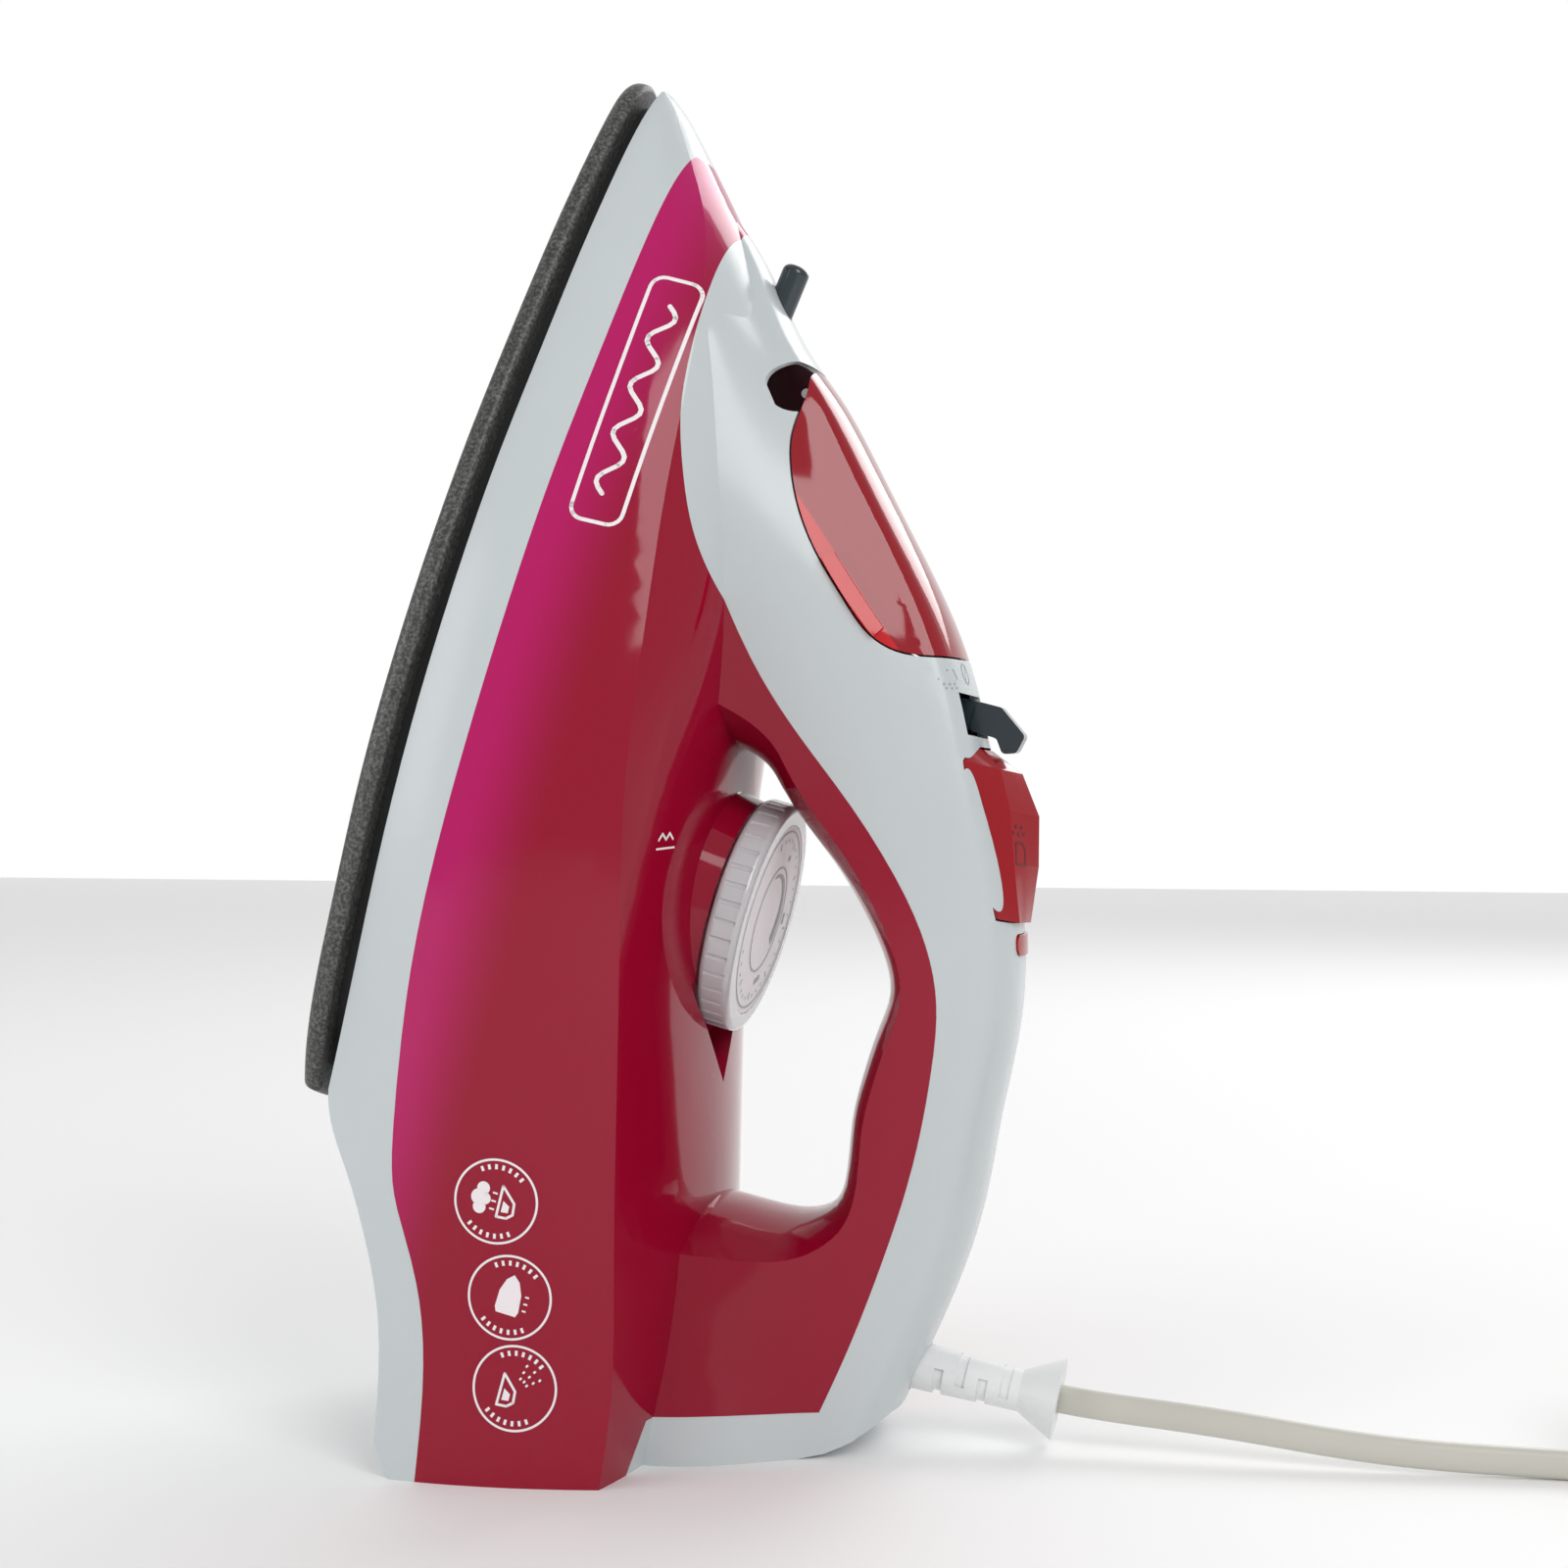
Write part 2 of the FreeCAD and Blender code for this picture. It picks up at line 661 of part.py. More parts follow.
def buildDoor():
    skin = handleLoft().cut(handleLoft(doorSkin))
    door = largest(skin.common(doorArea(0.0)))
    axis = at(*doorAxis)
    lug = Part.makeCylinder(hingeBossRadius, 3.6, axis + FreeCAD.Vector(0, -1.8, 0), FreeCAD.Vector(0, 1, 0))
    web = blockSide([
        axis + FreeCAD.Vector(-0.6, 0, 0), axis + FreeCAD.Vector(1.6, 0, -0.8),
        axis + FreeCAD.Vector(5.6, 0, 5.6), axis + FreeCAD.Vector(3.2, 0, 7.6)], -1.8, 1.8)
    door = door.fuse(lug.fuse(web).common(handleLoft(0.8)))
    for side in (-1, 1):
        door = door.fuse(gripLip(side))
    hole = Part.makeCylinder(doorPinRadius + doorPinGap, 20, axis + FreeCAD.Vector(0, -10, 0), FreeCAD.Vector(0, 1, 0))
    return largest(door.cut(hole))


def gripLip(side):
    """A raised rib along the rear lower edge of the door for a thumb."""
    curve = [at(88.5, 71), at(93, 75.4), at(97.5, 80.4), at(101.2, 85)]
    corners = [at(99, 86.4), at(94.8, 81.6), at(90.6, 77), at(87, 73.2)]
    strip = sidePrism(curve, corners, 60)
    proud = handleLoft(-1.6).cut(handleLoft(0.6))
    rib = strip.common(proud)
    half = box((0, 2 if side > 0 else -60, 0), (200, 60 if side > 0 else -2, 200))
    return largest(rib.common(half))


def funnelBlock(grow):
    """The chute under the door, its mouth parallel to the door."""
    corners = [at(68, 30), at(68, 64.6), at(90, 83.6), at(90, 30)]
    low = corners[0]
    corners = [
        low + FreeCAD.Vector(-grow, 0, 0), corners[1] + FreeCAD.Vector(-grow, 0, 0),
        corners[2] + FreeCAD.Vector(grow, 0, 0), corners[3] + FreeCAD.Vector(grow, 0, 0)]
    return blockSide(corners, -10.5 - grow, 10.5 + grow)


def buildFunnel():
    block = funnelBlock(0.0)
    core = box(
        (along(68) + funnelWall, -10.5 + funnelWall, 0), (along(90) - funnelWall, 10.5 - funnelWall, 200))
    return block.cut(core)


def buildDoorSeal():
    """The soft pad under the door that closes the chute."""
    corners = [at(68.6, 66), at(89.6, 84.1), at(87.6, 86.4), at(66.6, 68.3)]
    return blockSide(corners, -9.6, 9.6).common(handleLoft(doorSkin))


def buildDoorPin():
    axis = at(*doorAxis)
    return Part.makeCylinder(doorPinRadius, 2 * doorPinHalf, axis + FreeCAD.Vector(0, -doorPinHalf, 0), FreeCAD.Vector(0, 1, 0))


# ---------------------------------------------------------------- buttons
# place, height at the middle, ridge across and up, side across and up
buttonSections = [
    (117.6, 111.5, 6.0, 110.5, 12.2, 107.5),
    (120.5, 118.6, 7.5, 115.0, 14.6, 108.6),
    (128, 124.2, 8.6, 119.2, 15.2, 110.0),
    (138, 126.8, 9.0, 122.8, 15.2, 114.0),
    (149.4, 128.2, 8.4, 127.0, 13.6, 123.6),
]
buttonFoot = 103.0


def buttonForm(side, grow, foot):
    wires = []
    for i, (s, middle, ridge, ridgeUp, edge, edgeUp) in enumerate(buttonSections):
        x = along(s) + grow * (-1 if i == 0 else 1 if i == len(buttonSections) - 1 else 0)
        inner = 0.2 - min(grow, 0.2)
        points = [
            (inner, up(foot)), (across(edge) + grow, up(foot)), (across(edge) + grow, up(edgeUp)),
            (across(ridge), up(ridgeUp)), (inner, up(middle))]
        vectors = [FreeCAD.Vector(x, side * y, z) for y, z in points]
        wires.append(Part.makePolygon(vectors + vectors[:1]))
    return Part.makeLoft(wires, True, True)


def buildButton(side):
    button = buttonForm(side, 0.0, buttonFoot)
    hollow = box((along(121.5), 2.0, 0), (along(146), across(12), up(buttonFoot) + 3.5))
    if side < 0:
        hollow = hollow.mirror(FreeCAD.Vector(), FreeCAD.Vector(0, 1, 0))
    return button.cut(hollow)


def pumpCylinder(side, low, high, radius):
    return upright(pumpPlace, side * pumpOffset, low, high, radius)


def buildBarrel(side):
    barrel = pumpCylinder(side, up(barrelFoot), up(barrelTop), barrelRadius)
    barrel = barrel.cut(pumpCylinder(side, up(barrelFoot) + 1.6, up(barrelTop) + 1, barrelBore))
    spout = pumpCylinder(side, up(barrelFoot) - 6, up(barrelFoot), 2.4)
    return barrel.fuse(spout).cut(pumpCylinder(side, up(barrelFoot) - 7, up(barrelFoot) + 3, 1.0))


def buildPiston(side):
    """The piston, with the rod that carries the button."""
    top = up(barrelTop) - 4
    head = pumpCylinder(side, top - pistonLength, top, barrelBore - pistonGap)
    rod = pumpCylinder(side, top - 1, up(buttonFoot) + 3.5, rodRadius)
    return head.fuse(rod)


def buildSpring(side):
    low = up(barrelTop) - 4 + springWire / 2 + 0.05
    high = up(buttonFoot) + 3.5 - springWire / 2 - 0.05
    path = Part.makeHelix((high - low) / springTurns, high - low, springRadius)
    ring = Part.Wire(Part.Circle(
        FreeCAD.Vector(springRadius, 0, 0), FreeCAD.Vector(0, 1, 0), springWire / 2).toShape())
    coil = Part.Wire(path).makePipeShell([ring], True, True)
    coil.translate(FreeCAD.Vector(along(pumpPlace), side * pumpOffset, low))
    return coil


# ---------------------------------------------------------------- steam lever
def buildLever():
    x = along(leverPlace)
    z = up(leverAxisHeight)
    hub = Part.makeCylinder(leverHubRadius, leverArm, FreeCAD.Vector(x - leverArm / 2, 0, z), FreeCAD.Vector(1, 0, 0))
    arm = box((x - leverArm / 2, -2.0, z), (x + leverArm / 2, 2.0, up(106.5)))
    knob = blockSide([
        at(108.4, 106), at(114.6, 106), at(114.8, 111.8), at(117.6, 113.8), at(116.6, 116.6),
        at(112.8, 117.4), at(108.4, 111.2)],
        -2.6, 2.6)
    edges = [e for e in knob.Edges if e.BoundBox.YLength > 4]
    knob = knob.makeFillet(1.1, edges)
    bore = Part.makeCylinder(leverPinRadius + leverPinGap, 40, FreeCAD.Vector(x - 20, 0, z), FreeCAD.Vector(1, 0, 0))
    return hub.fuse(arm).fuse(knob).cut(bore).removeSplitter()


def buildLeverPin():
    x = along(leverPlace)
    return Part.makeCylinder(
        leverPinRadius, leverArm + 7, FreeCAD.Vector(x - leverArm / 2 - 3.5, 0, up(leverAxisHeight)),
        FreeCAD.Vector(1, 0, 0))


def buildNeedle():
    """The drip valve's rod, with a cone that closes the seat and a flat head under the lever."""
    low = tankFloorHeight + floorThickness
    top = up(leverAxisHeight) - leverHubRadius - 4.0
    rod = upright(leverPlace, 0, low, top, needleRadius)
    point = Part.makeCone(0.7, needleRadius, 4, FreeCAD.Vector(along(leverPlace), 0, low - 4))
    head = upright(leverPlace, 0, top - 1.2, top, 3.4)
    return rod.fuse(point).fuse(head)


def buildSeat():
    low = coverFoot + coverThickness
    high = tankFloorHeight + floorThickness
    seat = upright(leverPlace, 0, low, tankFloorHeight, seatRadius)
    seat = seat.fuse(upright(leverPlace, 0, tankFloorHeight, high, seatRadius - 1.4))
    return seat.cut(upright(leverPlace, 0, 0, 60, needleRadius + 0.12))


# ---------------------------------------------------------------- white shell
def leverSlot():
    x = along(leverPlace)
    low = up(94)
    high = up(140)
    room = leverArm / 2 + 0.9
    reach = (up(113.0) - up(leverAxisHeight)) * math.tan(math.radians(leverSwing)) + 0.2
    return box((x - room, -reach, low), (x + room, 3.4, high))


def lensSlot(grow):
    slab = box((along(152) - grow, -7.5 - grow, up(120)), (along(156) + grow, 7.5 + grow, up(140)))
    return slab.makeFillet(1.8, [e for e in slab.Edges if e.BoundBox.ZLength > 10])


def nozzleCylinder(grow, low, high):
    """Along the spray's direction, which points over the nose."""
    axis = FreeCAD.Vector(-math.cos(math.radians(8)), 0, math.sin(math.radians(8)))
    return Part.makeCylinder(2.9 + grow, high - low, at(41.5, 43.6) + axis * low, axis)


def guardFrame(shape):
    """Set a piece that is drawn along z onto the cord guard's axis."""
    shape.rotate(FreeCAD.Vector(), FreeCAD.Vector(0, 1, 0), guardTilt)
    shape.translate(at(guardPlace, 126.5))
    return shape


def buildShell(skin):
    shell = largest(skin.common(shellRegion()).cut(rearRegion()))
    axis = at(*doorAxis)
    shell = shell.cut(doorArea(doorGap))
    shell = shell.cut(Part.makeCylinder(
        doorTipRadius + doorGap, 40, axis + FreeCAD.Vector(0, -20, 0), FreeCAD.Vector(0, 1, 0)))
    for side in (-1, 1):
        post = Part.makeCylinder(
            hingeBossRadius, 20, axis + FreeCAD.Vector(0, 2.3 * side, 0), FreeCAD.Vector(0, side, 0))
        shell = shell.fuse(post.common(handleLoft(0.7)))
        shell = shell.cut(buttonForm(side, buttonGap, buttonFoot - buttonTravel - 4))
    shell = shell.cut(Part.makeCylinder(
        doorPinRadius, 2 * doorPinHalf, axis + FreeCAD.Vector(0, -doorPinHalf, 0), FreeCAD.Vector(0, 1, 0)))
    shell = shell.cut(leverSlot()).cut(lensSlot(0.1)).cut(nozzleCylinder(0.1, -10, 30))
    shell = shell.cut(guardFrame(Part.makeCylinder(guardRadius + 0.25, 20, FreeCAD.Vector(0, 0, -10))))
    return largest(shell)


def buildRearCover(skin):
    return largest(skin.common(rearRegion()))


def buildLens():
    lens = handleLoft(-0.5).common(lensSlot(0.0))
    return lens.cut(handleLoft(wall + 0.6))


def buildLamp():
    lamp = Part.makeCylinder(2.2, 11, FreeCAD.Vector(along(154), -5.5, up(121)), FreeCAD.Vector(0, 1, 0))
    return lamp.fuse(Part.makeSphere(2.2, FreeCAD.Vector(along(154), 5.5, up(121))))


def buildNozzle():
    nozzle = nozzleCylinder(0.0, -4, 11.5)
    rim = [e for e in nozzle.Edges if isinstance(e.Curve, Part.Circle) and e.CenterOfMass.x < along(35)]
    nozzle = nozzle.makeFillet(1.6, rim)
    return nozzle.cut(nozzleCylinder(-2.3, -5, 20))


# ---------------------------------------------------------------- dial and thermostat
def buildKnob():
    low = up(dialBack)
    high = low + dialThickness
    knob = upright(dialPlace, 0, low, high, dialRadius)
    knob = knob.makeFillet(1.6, knob.Edges)
    knob = knob.cut(upright(dialPlace, 0, high - discThickness, high + 1, discRadius + 0.1))
    knob = knob.cut(upright(dialPlace, 0, low - 1, high - discThickness - 1.6, dialRadius - 2.6))
    hub = upright(dialPlace, 0, low, high - discThickness - 1.6, 6.5)
    knob = knob.fuse(hub)
    for i in range(40):
        notch = upright(0, 0, low + 1.2, high - 1.2, 0.55)
        turn = 2 * math.pi * i / 40
        notch.translate(FreeCAD.Vector(
            along(dialPlace) + (dialRadius + 0.15) * math.cos(turn), (dialRadius + 0.15) * math.sin(turn), 0))
        knob = knob.cut(notch)
    return knob.cut(upright(dialPlace, 0, low - 1, high - 3.0, shaftRadius + 0.02))


def buildDisc():
    high = up(dialBack) + dialThickness
    return upright(dialPlace, 0, high - discThickness, high - 0.1, discRadius)


def thermostatTop():
    return coverFoot + coverThickness + 6.5


def buildShaft():
    high = up(dialBack) + dialThickness - 3.1
    return upright(dialPlace, 0, thermostatTop() - 3.0, high, shaftRadius)


def buildThermostat():
    low = castingTop
    x = along(dialPlace)
    body = box((x - 9, -11, low), (x + 15, 11, low + 3.2))
    stack = box((x - 7, -7, low + 3.2), (x + 7, 7, thermostatTop()))
    tags = box((x + 9, -9, low + 3.2), (x + 14, -7.6, low + 9)).fuse(
        box((x + 9, 7.6, low + 3.2), (x + 14, 9, low + 9)))
    hole = upright(dialPlace, 0, thermostatTop() - 3.1, 60, shaftRadius + shaftGap)
    return body.fuse(stack).fuse(tags).cut(hole)


def buildFuse():
    start = FreeCAD.Vector(along(200), -across(31), castingTop + 2.3)
    return Part.makeCylinder(2.2, 16, start, FreeCAD.Vector(0.4, 1, 0))


# ---------------------------------------------------------------- tail: clamp, block, wires, cord
def buildGuard():
    neck = Part.makeCone(guardRadius, guardNeckRadius, guardLength - 8)
    bell = Part.makeCone(guardNeckRadius, guardMouthRadius, 8, FreeCAD.Vector(0, 0, guardLength - 8))
    root = Part.makeCylinder(guardRadius, 4, FreeCAD.Vector(0, 0, -4))
    flange = Part.makeCylinder(guardRadius + 1.6, 1.8, FreeCAD.Vector(0, 0, -5.8))
    guard = neck.fuse(bell).fuse(root).fuse(flange)
    for i in range(4):
        side = 1 if i % 2 else -1
        low = 7.2 + 4.6 * i
        slot = box((-1.4, -20, low), (20, 20, low + 2.0))
        if side > 0:
            slot = box((-20, -20, low), (1.4, 20, low + 2.0))
        guard = guard.cut(slot)
    guard = guard.fuse(Part.makeCylinder(guardBore + 0.9, guardLength - 8))
    guard = guard.cut(Part.makeCylinder(guardBore, guardLength + 20, FreeCAD.Vector(0, 0, -10)))
    return guardFrame(guard)


def guardPoint(distance):
    """A point on the guard's axis in the standing frame."""
    ball = Part.Vertex(FreeCAD.Vector(0, 0, distance))
    return stand(guardFrame(ball)).Point


def buildClamp():
    low = at(guardPlace, 126.5)
    bar = box((low.x - 4, -9, low.z - 16), (low.x + 4, 9, low.z - 12.6))
    return bar


def buildTerminal():
    low = at(236, 88)
    block = box((low.x - 4, -14, low.z), (low.x + 8, 14, low.z + 12))
    for y in (-8.5, 0, 8.5):
        block = block.cut(Part.makeCylinder(2.0, 30, FreeCAD.Vector(low.x + 2, y, low.z - 5)))
    return block


def buildWires():
    low = at(236, 88)
    wireHeight = coverFoot + coverThickness + 4
    wires = []
    for y, end in ((-8.5, -7.0), (0.0, 0.0), (8.5, 7.0)):
        wires.append(tube([
            FreeCAD.Vector(low.x + 2, y, low.z + 6), FreeCAD.Vector(low.x + 2.5, y, low.z - 24),
            FreeCAD.Vector(low.x + 1, end, tankFloorHeight + 12), FreeCAD.Vector(low.x - 8, end, wireHeight),
            FreeCAD.Vector(along(186), end, wireHeight - 1)], wireRadius))
    return Part.makeCompound(wires)


def buildScrews():
    screws = []
    for s, y in screwPosts():
        shank = upright(s, y, castingTop - 5.5, tankFloorHeight + floorThickness, 1.2)
        head = upright(s, y, tankFloorHeight + floorThickness, tankFloorHeight + floorThickness + 1.6, 2.8)
        screws.append(shank.fuse(head))
    return Part.makeCompound(screws)


def leadRoute():
    """The cord from inside the guard down to the floor and away from the heel, in the standing frame."""
    rest = cordDiameter / 2 + 0.15
    start = guardPoint(-8.0)
    mouth = guardPoint(guardLength + 3.0)
    half = guardPoint(0.45 * guardLength)
    x = mouth.x
    return [
        start, half + FreeCAD.Vector(0, 0.25, 0), mouth, FreeCAD.Vector(x + 28, -1.5, mouth.z - 1.6),
        FreeCAD.Vector(x + 62, -2.5, rest + 1.0), FreeCAD.Vector(x + 95, 0.5, rest),
        FreeCAD.Vector(coilCentre[0] - coilRadius - 1, 0.8, rest)]


def buildLead():
    """The lead ends against the side of the coil."""
    return largest(tube(leadRoute(), cordDiameter / 2, quiet=False).cut(buildCoil()))


def buildCoil():
    ring = Part.makeTorus(coilRadius, coilThickness / 2 - tieThickness)
    ring.translate(FreeCAD.Vector(coilCentre[0], coilCentre[1], coilThickness / 2))
    return ring


def buildTie():
    """A wire tie round the coil's bundle."""
    outer = coilThickness / 2
    x = coilCentre[0] + coilRadius * math.cos(2.2)
    y = coilCentre[1] + coilRadius * math.sin(2.2)
    axis = FreeCAD.Vector(-math.sin(2.2), math.cos(2.2), 0)
    centre = FreeCAD.Vector(x, y, outer)
    band = Part.makeCylinder(outer, 4, centre - axis * 2, axis)
    bore = Part.makeCylinder(outer - tieThickness + 0.1, 6, centre - axis * 3, axis)
    return band.cut(bore)


def buildPlug():
    """A flat two-pin plug, lying on the ring of the coil."""
    block = box((0, -11.5, 0), (plugLength, 11.5, 15.0))
    block = block.makeFillet(4.0, [e for e in block.Edges if e.BoundBox.XLength > 0.9 * plugLength])
    waist = Part.makeCone(4.6, 6.8, 16, FreeCAD.Vector(-15, 0, 7.5), FreeCAD.Vector(1, 0, 0))
    body = block.fuse(waist).cut(Part.makeCylinder(
        cordDiameter / 2, 14, FreeCAD.Vector(-16, 0, 7.5), FreeCAD.Vector(1, 0, 0)))
    for y in (-6.35, 6.35):
        body = body.cut(box((plugLength - 8, y - 0.75, 4.2), (plugLength + 1, y + 0.75, 10.8)))
    return plugFrame(body)


def buildBlades():
    blades = []
    for y in (-6.35, 6.35):
        blade = box((plugLength - 8, y - 0.75, 4.2), (plugLength + 17.5, y + 0.75, 10.8))
        tip = [e for e in blade.Edges if e.BoundBox.YLength > 1 and e.CenterOfMass.x > plugLength + 15]
        blade = blade.makeFillet(1.6, [e for e in tip if e.BoundBox.ZLength < 0.1])
        blades.append(plugFrame(blade))
    return Part.makeCompound(blades)


def plugFrame(shape):
    shape.rotate(FreeCAD.Vector(), FreeCAD.Vector(0, 0, 1), 90)
    shape.translate(FreeCAD.Vector(
        coilCentre[0] + plugAside, coilCentre[1] - plugLength / 4, coilThickness - tieThickness))
    return shape


def main():
    os.makedirs("parts", exist_ok=True)
    outer = outerForm()
    inside = innerForm()
    skin = outer.cut(inside)
    lining = inside.common(outer)
    bench = {
        "soleplate": buildSole(),
        "collar": buildCollar(),
        "sole_casting": buildCasting(),
        "heating_element": buildHeater(),
        "chamber_gasket": buildGasket(),
        "chamber_cover": buildChamberCover(),
        "skirt": buildSkirt(skin),
        "tank_body": buildTank(skin),
        "tank_deck": buildDeck(lining),
        "tank_floor": buildTankFloor(lining),
        "tank_bulkhead": buildBulkhead(lining),
        "tank_floor_seal": buildFloorSeal(lining),
        "body_screws": buildScrews(),
        "handle_shell": buildShell(skin),
        "rear_cover": buildRearCover(skin),
        "fill_door": buildDoor(),
        "door_seal": buildDoorSeal(),
        "door_pin": buildDoorPin(),
        "filler_chute": buildFunnel(),
        "spray_nozzle": buildNozzle(),
        "indicator_lens": buildLens(),
        "indicator_lamp": buildLamp(),
        "steam_lever": buildLever(),
        "lever_pin": buildLeverPin(),
        "valve_needle": buildNeedle(),
        "valve_seat": buildSeat(),
        "thermostat": buildThermostat(),
        "dial_shaft": buildShaft(),
        "dial_knob": buildKnob(),
        "dial_disc": buildDisc(),
        "thermal_fuse": buildFuse(),
        "terminal_block": buildTerminal(),
        "inner_wires": buildWires(),
        "cord_clamp": buildClamp(),
        "cord_guard": buildGuard(),
    }
    for word, side in (("spray", -1), ("burst", 1)):
        bench[word + "_button"] = buildButton(side)
        bench[word + "_piston"] = buildPiston(side)
        bench[word + "_barrel"] = buildBarrel(side)
        bench[word + "_spring"] = buildSpring(side)
    for name, shape in bench.items():
        save(name, stand(shape))
    save("cord_lead", buildLead())
    save("cord_coil", buildCoil())
    save("cord_tie", buildTie())
    save("plug_body", buildPlug())
    save("plug_blades", buildBlades())


main()
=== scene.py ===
import json
import math
import bpy
import bmesh
from mathutils import Matrix, Vector
from mathutils.bvhtree import BVHTree


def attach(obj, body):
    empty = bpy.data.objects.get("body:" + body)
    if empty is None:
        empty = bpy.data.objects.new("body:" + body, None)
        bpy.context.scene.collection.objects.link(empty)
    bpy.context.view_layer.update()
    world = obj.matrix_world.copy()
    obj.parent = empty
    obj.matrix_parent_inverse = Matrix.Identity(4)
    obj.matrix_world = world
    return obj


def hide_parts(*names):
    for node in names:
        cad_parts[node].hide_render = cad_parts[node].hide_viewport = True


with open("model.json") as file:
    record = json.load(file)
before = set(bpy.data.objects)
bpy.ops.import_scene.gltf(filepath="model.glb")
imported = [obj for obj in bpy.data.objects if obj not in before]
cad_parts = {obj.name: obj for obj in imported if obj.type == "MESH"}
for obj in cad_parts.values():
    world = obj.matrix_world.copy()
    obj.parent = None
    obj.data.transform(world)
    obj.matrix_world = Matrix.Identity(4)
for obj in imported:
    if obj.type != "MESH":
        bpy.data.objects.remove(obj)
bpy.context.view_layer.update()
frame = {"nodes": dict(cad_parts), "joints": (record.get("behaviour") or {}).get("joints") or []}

joints = {joint["name"]: joint for joint in frame["joints"]}

# the bench directions of the iron: back along the sole, up from it, across it
upAxis = Vector(joints["dial_turn"]["axis"]).normalized()
backAxis = Vector(joints["lever_swing"]["axis"]).normalized()
acrossAxis = Vector((0.0, 1.0, 0.0))
dialAxle = Vector(joints["dial_turn"]["pos_m"])
benchPlace = {"dialAlong": 164.0, "dialUp": 71.5}  # millimetres from the nose and the sole


def bench(s, h, y=0.0):
    back = backAxis * (s - benchPlace["dialAlong"])
    up = upAxis * (h - benchPlace["dialUp"])
    return dialAxle + (back + up + acrossAxis * y) / 1000


def newGroup(name, inputs, outputs):
    group = bpy.data.node_groups.new(name, "ShaderNodeTree")
    for label, kind, value in inputs:
        socket = group.interface.new_socket(label, in_out="INPUT", socket_type=kind)
        socket.default_value = value
    for label, kind in outputs:
        group.interface.new_socket(label, in_out="OUTPUT", socket_type=kind)
    return group, group.nodes.new("NodeGroupInput"), group.nodes.new("NodeGroupOutput")


def mouldedFinish():
    # faint flow waviness and fine handling scratches on a moulded surface
    group, given, result = newGroup(
        "mouldedFinish",
        [("Wave", "NodeSocketFloat", 1.0), ("Scratch", "NodeSocketFloat", 1.0), ("Roughness", "NodeSocketFloat", 0.2)],
        [("Roughness", "NodeSocketFloat"), ("Height", "NodeSocketFloat"), ("Tone", "NodeSocketFloat")])
    nodes, links = group.nodes, group.links
    place = nodes.new("ShaderNodeTexCoord")
    wave = nodes.new("ShaderNodeTexNoise")
    wave.inputs["Scale"].default_value = 38.0
    wave.inputs["Detail"].default_value = 2.0
    stretch = nodes.new("ShaderNodeMapping")
    stretch.inputs["Rotation"].default_value = (0.4, 1.1, 0.2)
    stretch.inputs["Scale"].default_value = (420.0, 60.0, 420.0)
    scratch = nodes.new("ShaderNodeTexNoise")
    scratch.inputs["Scale"].default_value = 3.2
    scratch.inputs["Detail"].default_value = 5.0
    scratch.inputs["Roughness"].default_value = 0.72
    pick = nodes.new("ShaderNodeMapRange")
    pick.inputs["From Min"].default_value = 0.64
    pick.inputs["From Max"].default_value = 0.76
    smear = nodes.new("ShaderNodeTexNoise")
    smear.inputs["Scale"].default_value = 24.0
    smear.inputs["Detail"].default_value = 6.0
    links.new(place.outputs["Object"], wave.inputs["Vector"])
    links.new(place.outputs["Object"], stretch.inputs["Vector"])
    links.new(place.outputs["Object"], smear.inputs["Vector"])
    links.new(stretch.outputs["Vector"], scratch.inputs["Vector"])
    links.new(scratch.outputs["Fac"], pick.inputs["Value"])
    marks = nodes.new("ShaderNodeMath")
    marks.operation = "MULTIPLY"
    links.new(pick.outputs["Result"], marks.inputs[0])
    links.new(given.outputs["Scratch"], marks.inputs[1])
    rub = nodes.new("ShaderNodeMath")
    rub.operation = "MULTIPLY_ADD"
    rub.inputs[1].default_value = 0.16
    links.new(smear.outputs["Fac"], rub.inputs[0])
    links.new(given.outputs["Roughness"], rub.inputs[2])
    rough = nodes.new("ShaderNodeMath")
    rough.operation = "MULTIPLY_ADD"
    rough.inputs[1].default_value = 0.22
    links.new(marks.outputs["Value"], rough.inputs[0])
    links.new(rub.outputs["Value"], rough.inputs[2])
    shift = nodes.new("ShaderNodeMath")
    shift.operation = "SUBTRACT"
    shift.inputs[1].default_value = 0.08
    links.new(rough.outputs["Value"], shift.inputs[0])
    lift = nodes.new("ShaderNodeMath")
    lift.operation = "MULTIPLY"
    links.new(wave.outputs["Fac"], lift.inputs[0])
    links.new(given.outputs["Wave"], lift.inputs[1])
    height = nodes.new("ShaderNodeMath")
    height.operation = "MULTIPLY_ADD"
    height.inputs[1].default_value = -0.35
    links.new(marks.outputs["Value"], height.inputs[0])
    links.new(lift.outputs["Value"], height.inputs[2])
    links.new(shift.outputs["Value"], result.inputs["Roughness"])
    links.new(height.outputs["Value"], result.inputs["Height"])
    links.new(smear.outputs["Fac"], result.inputs["Tone"])
    return group


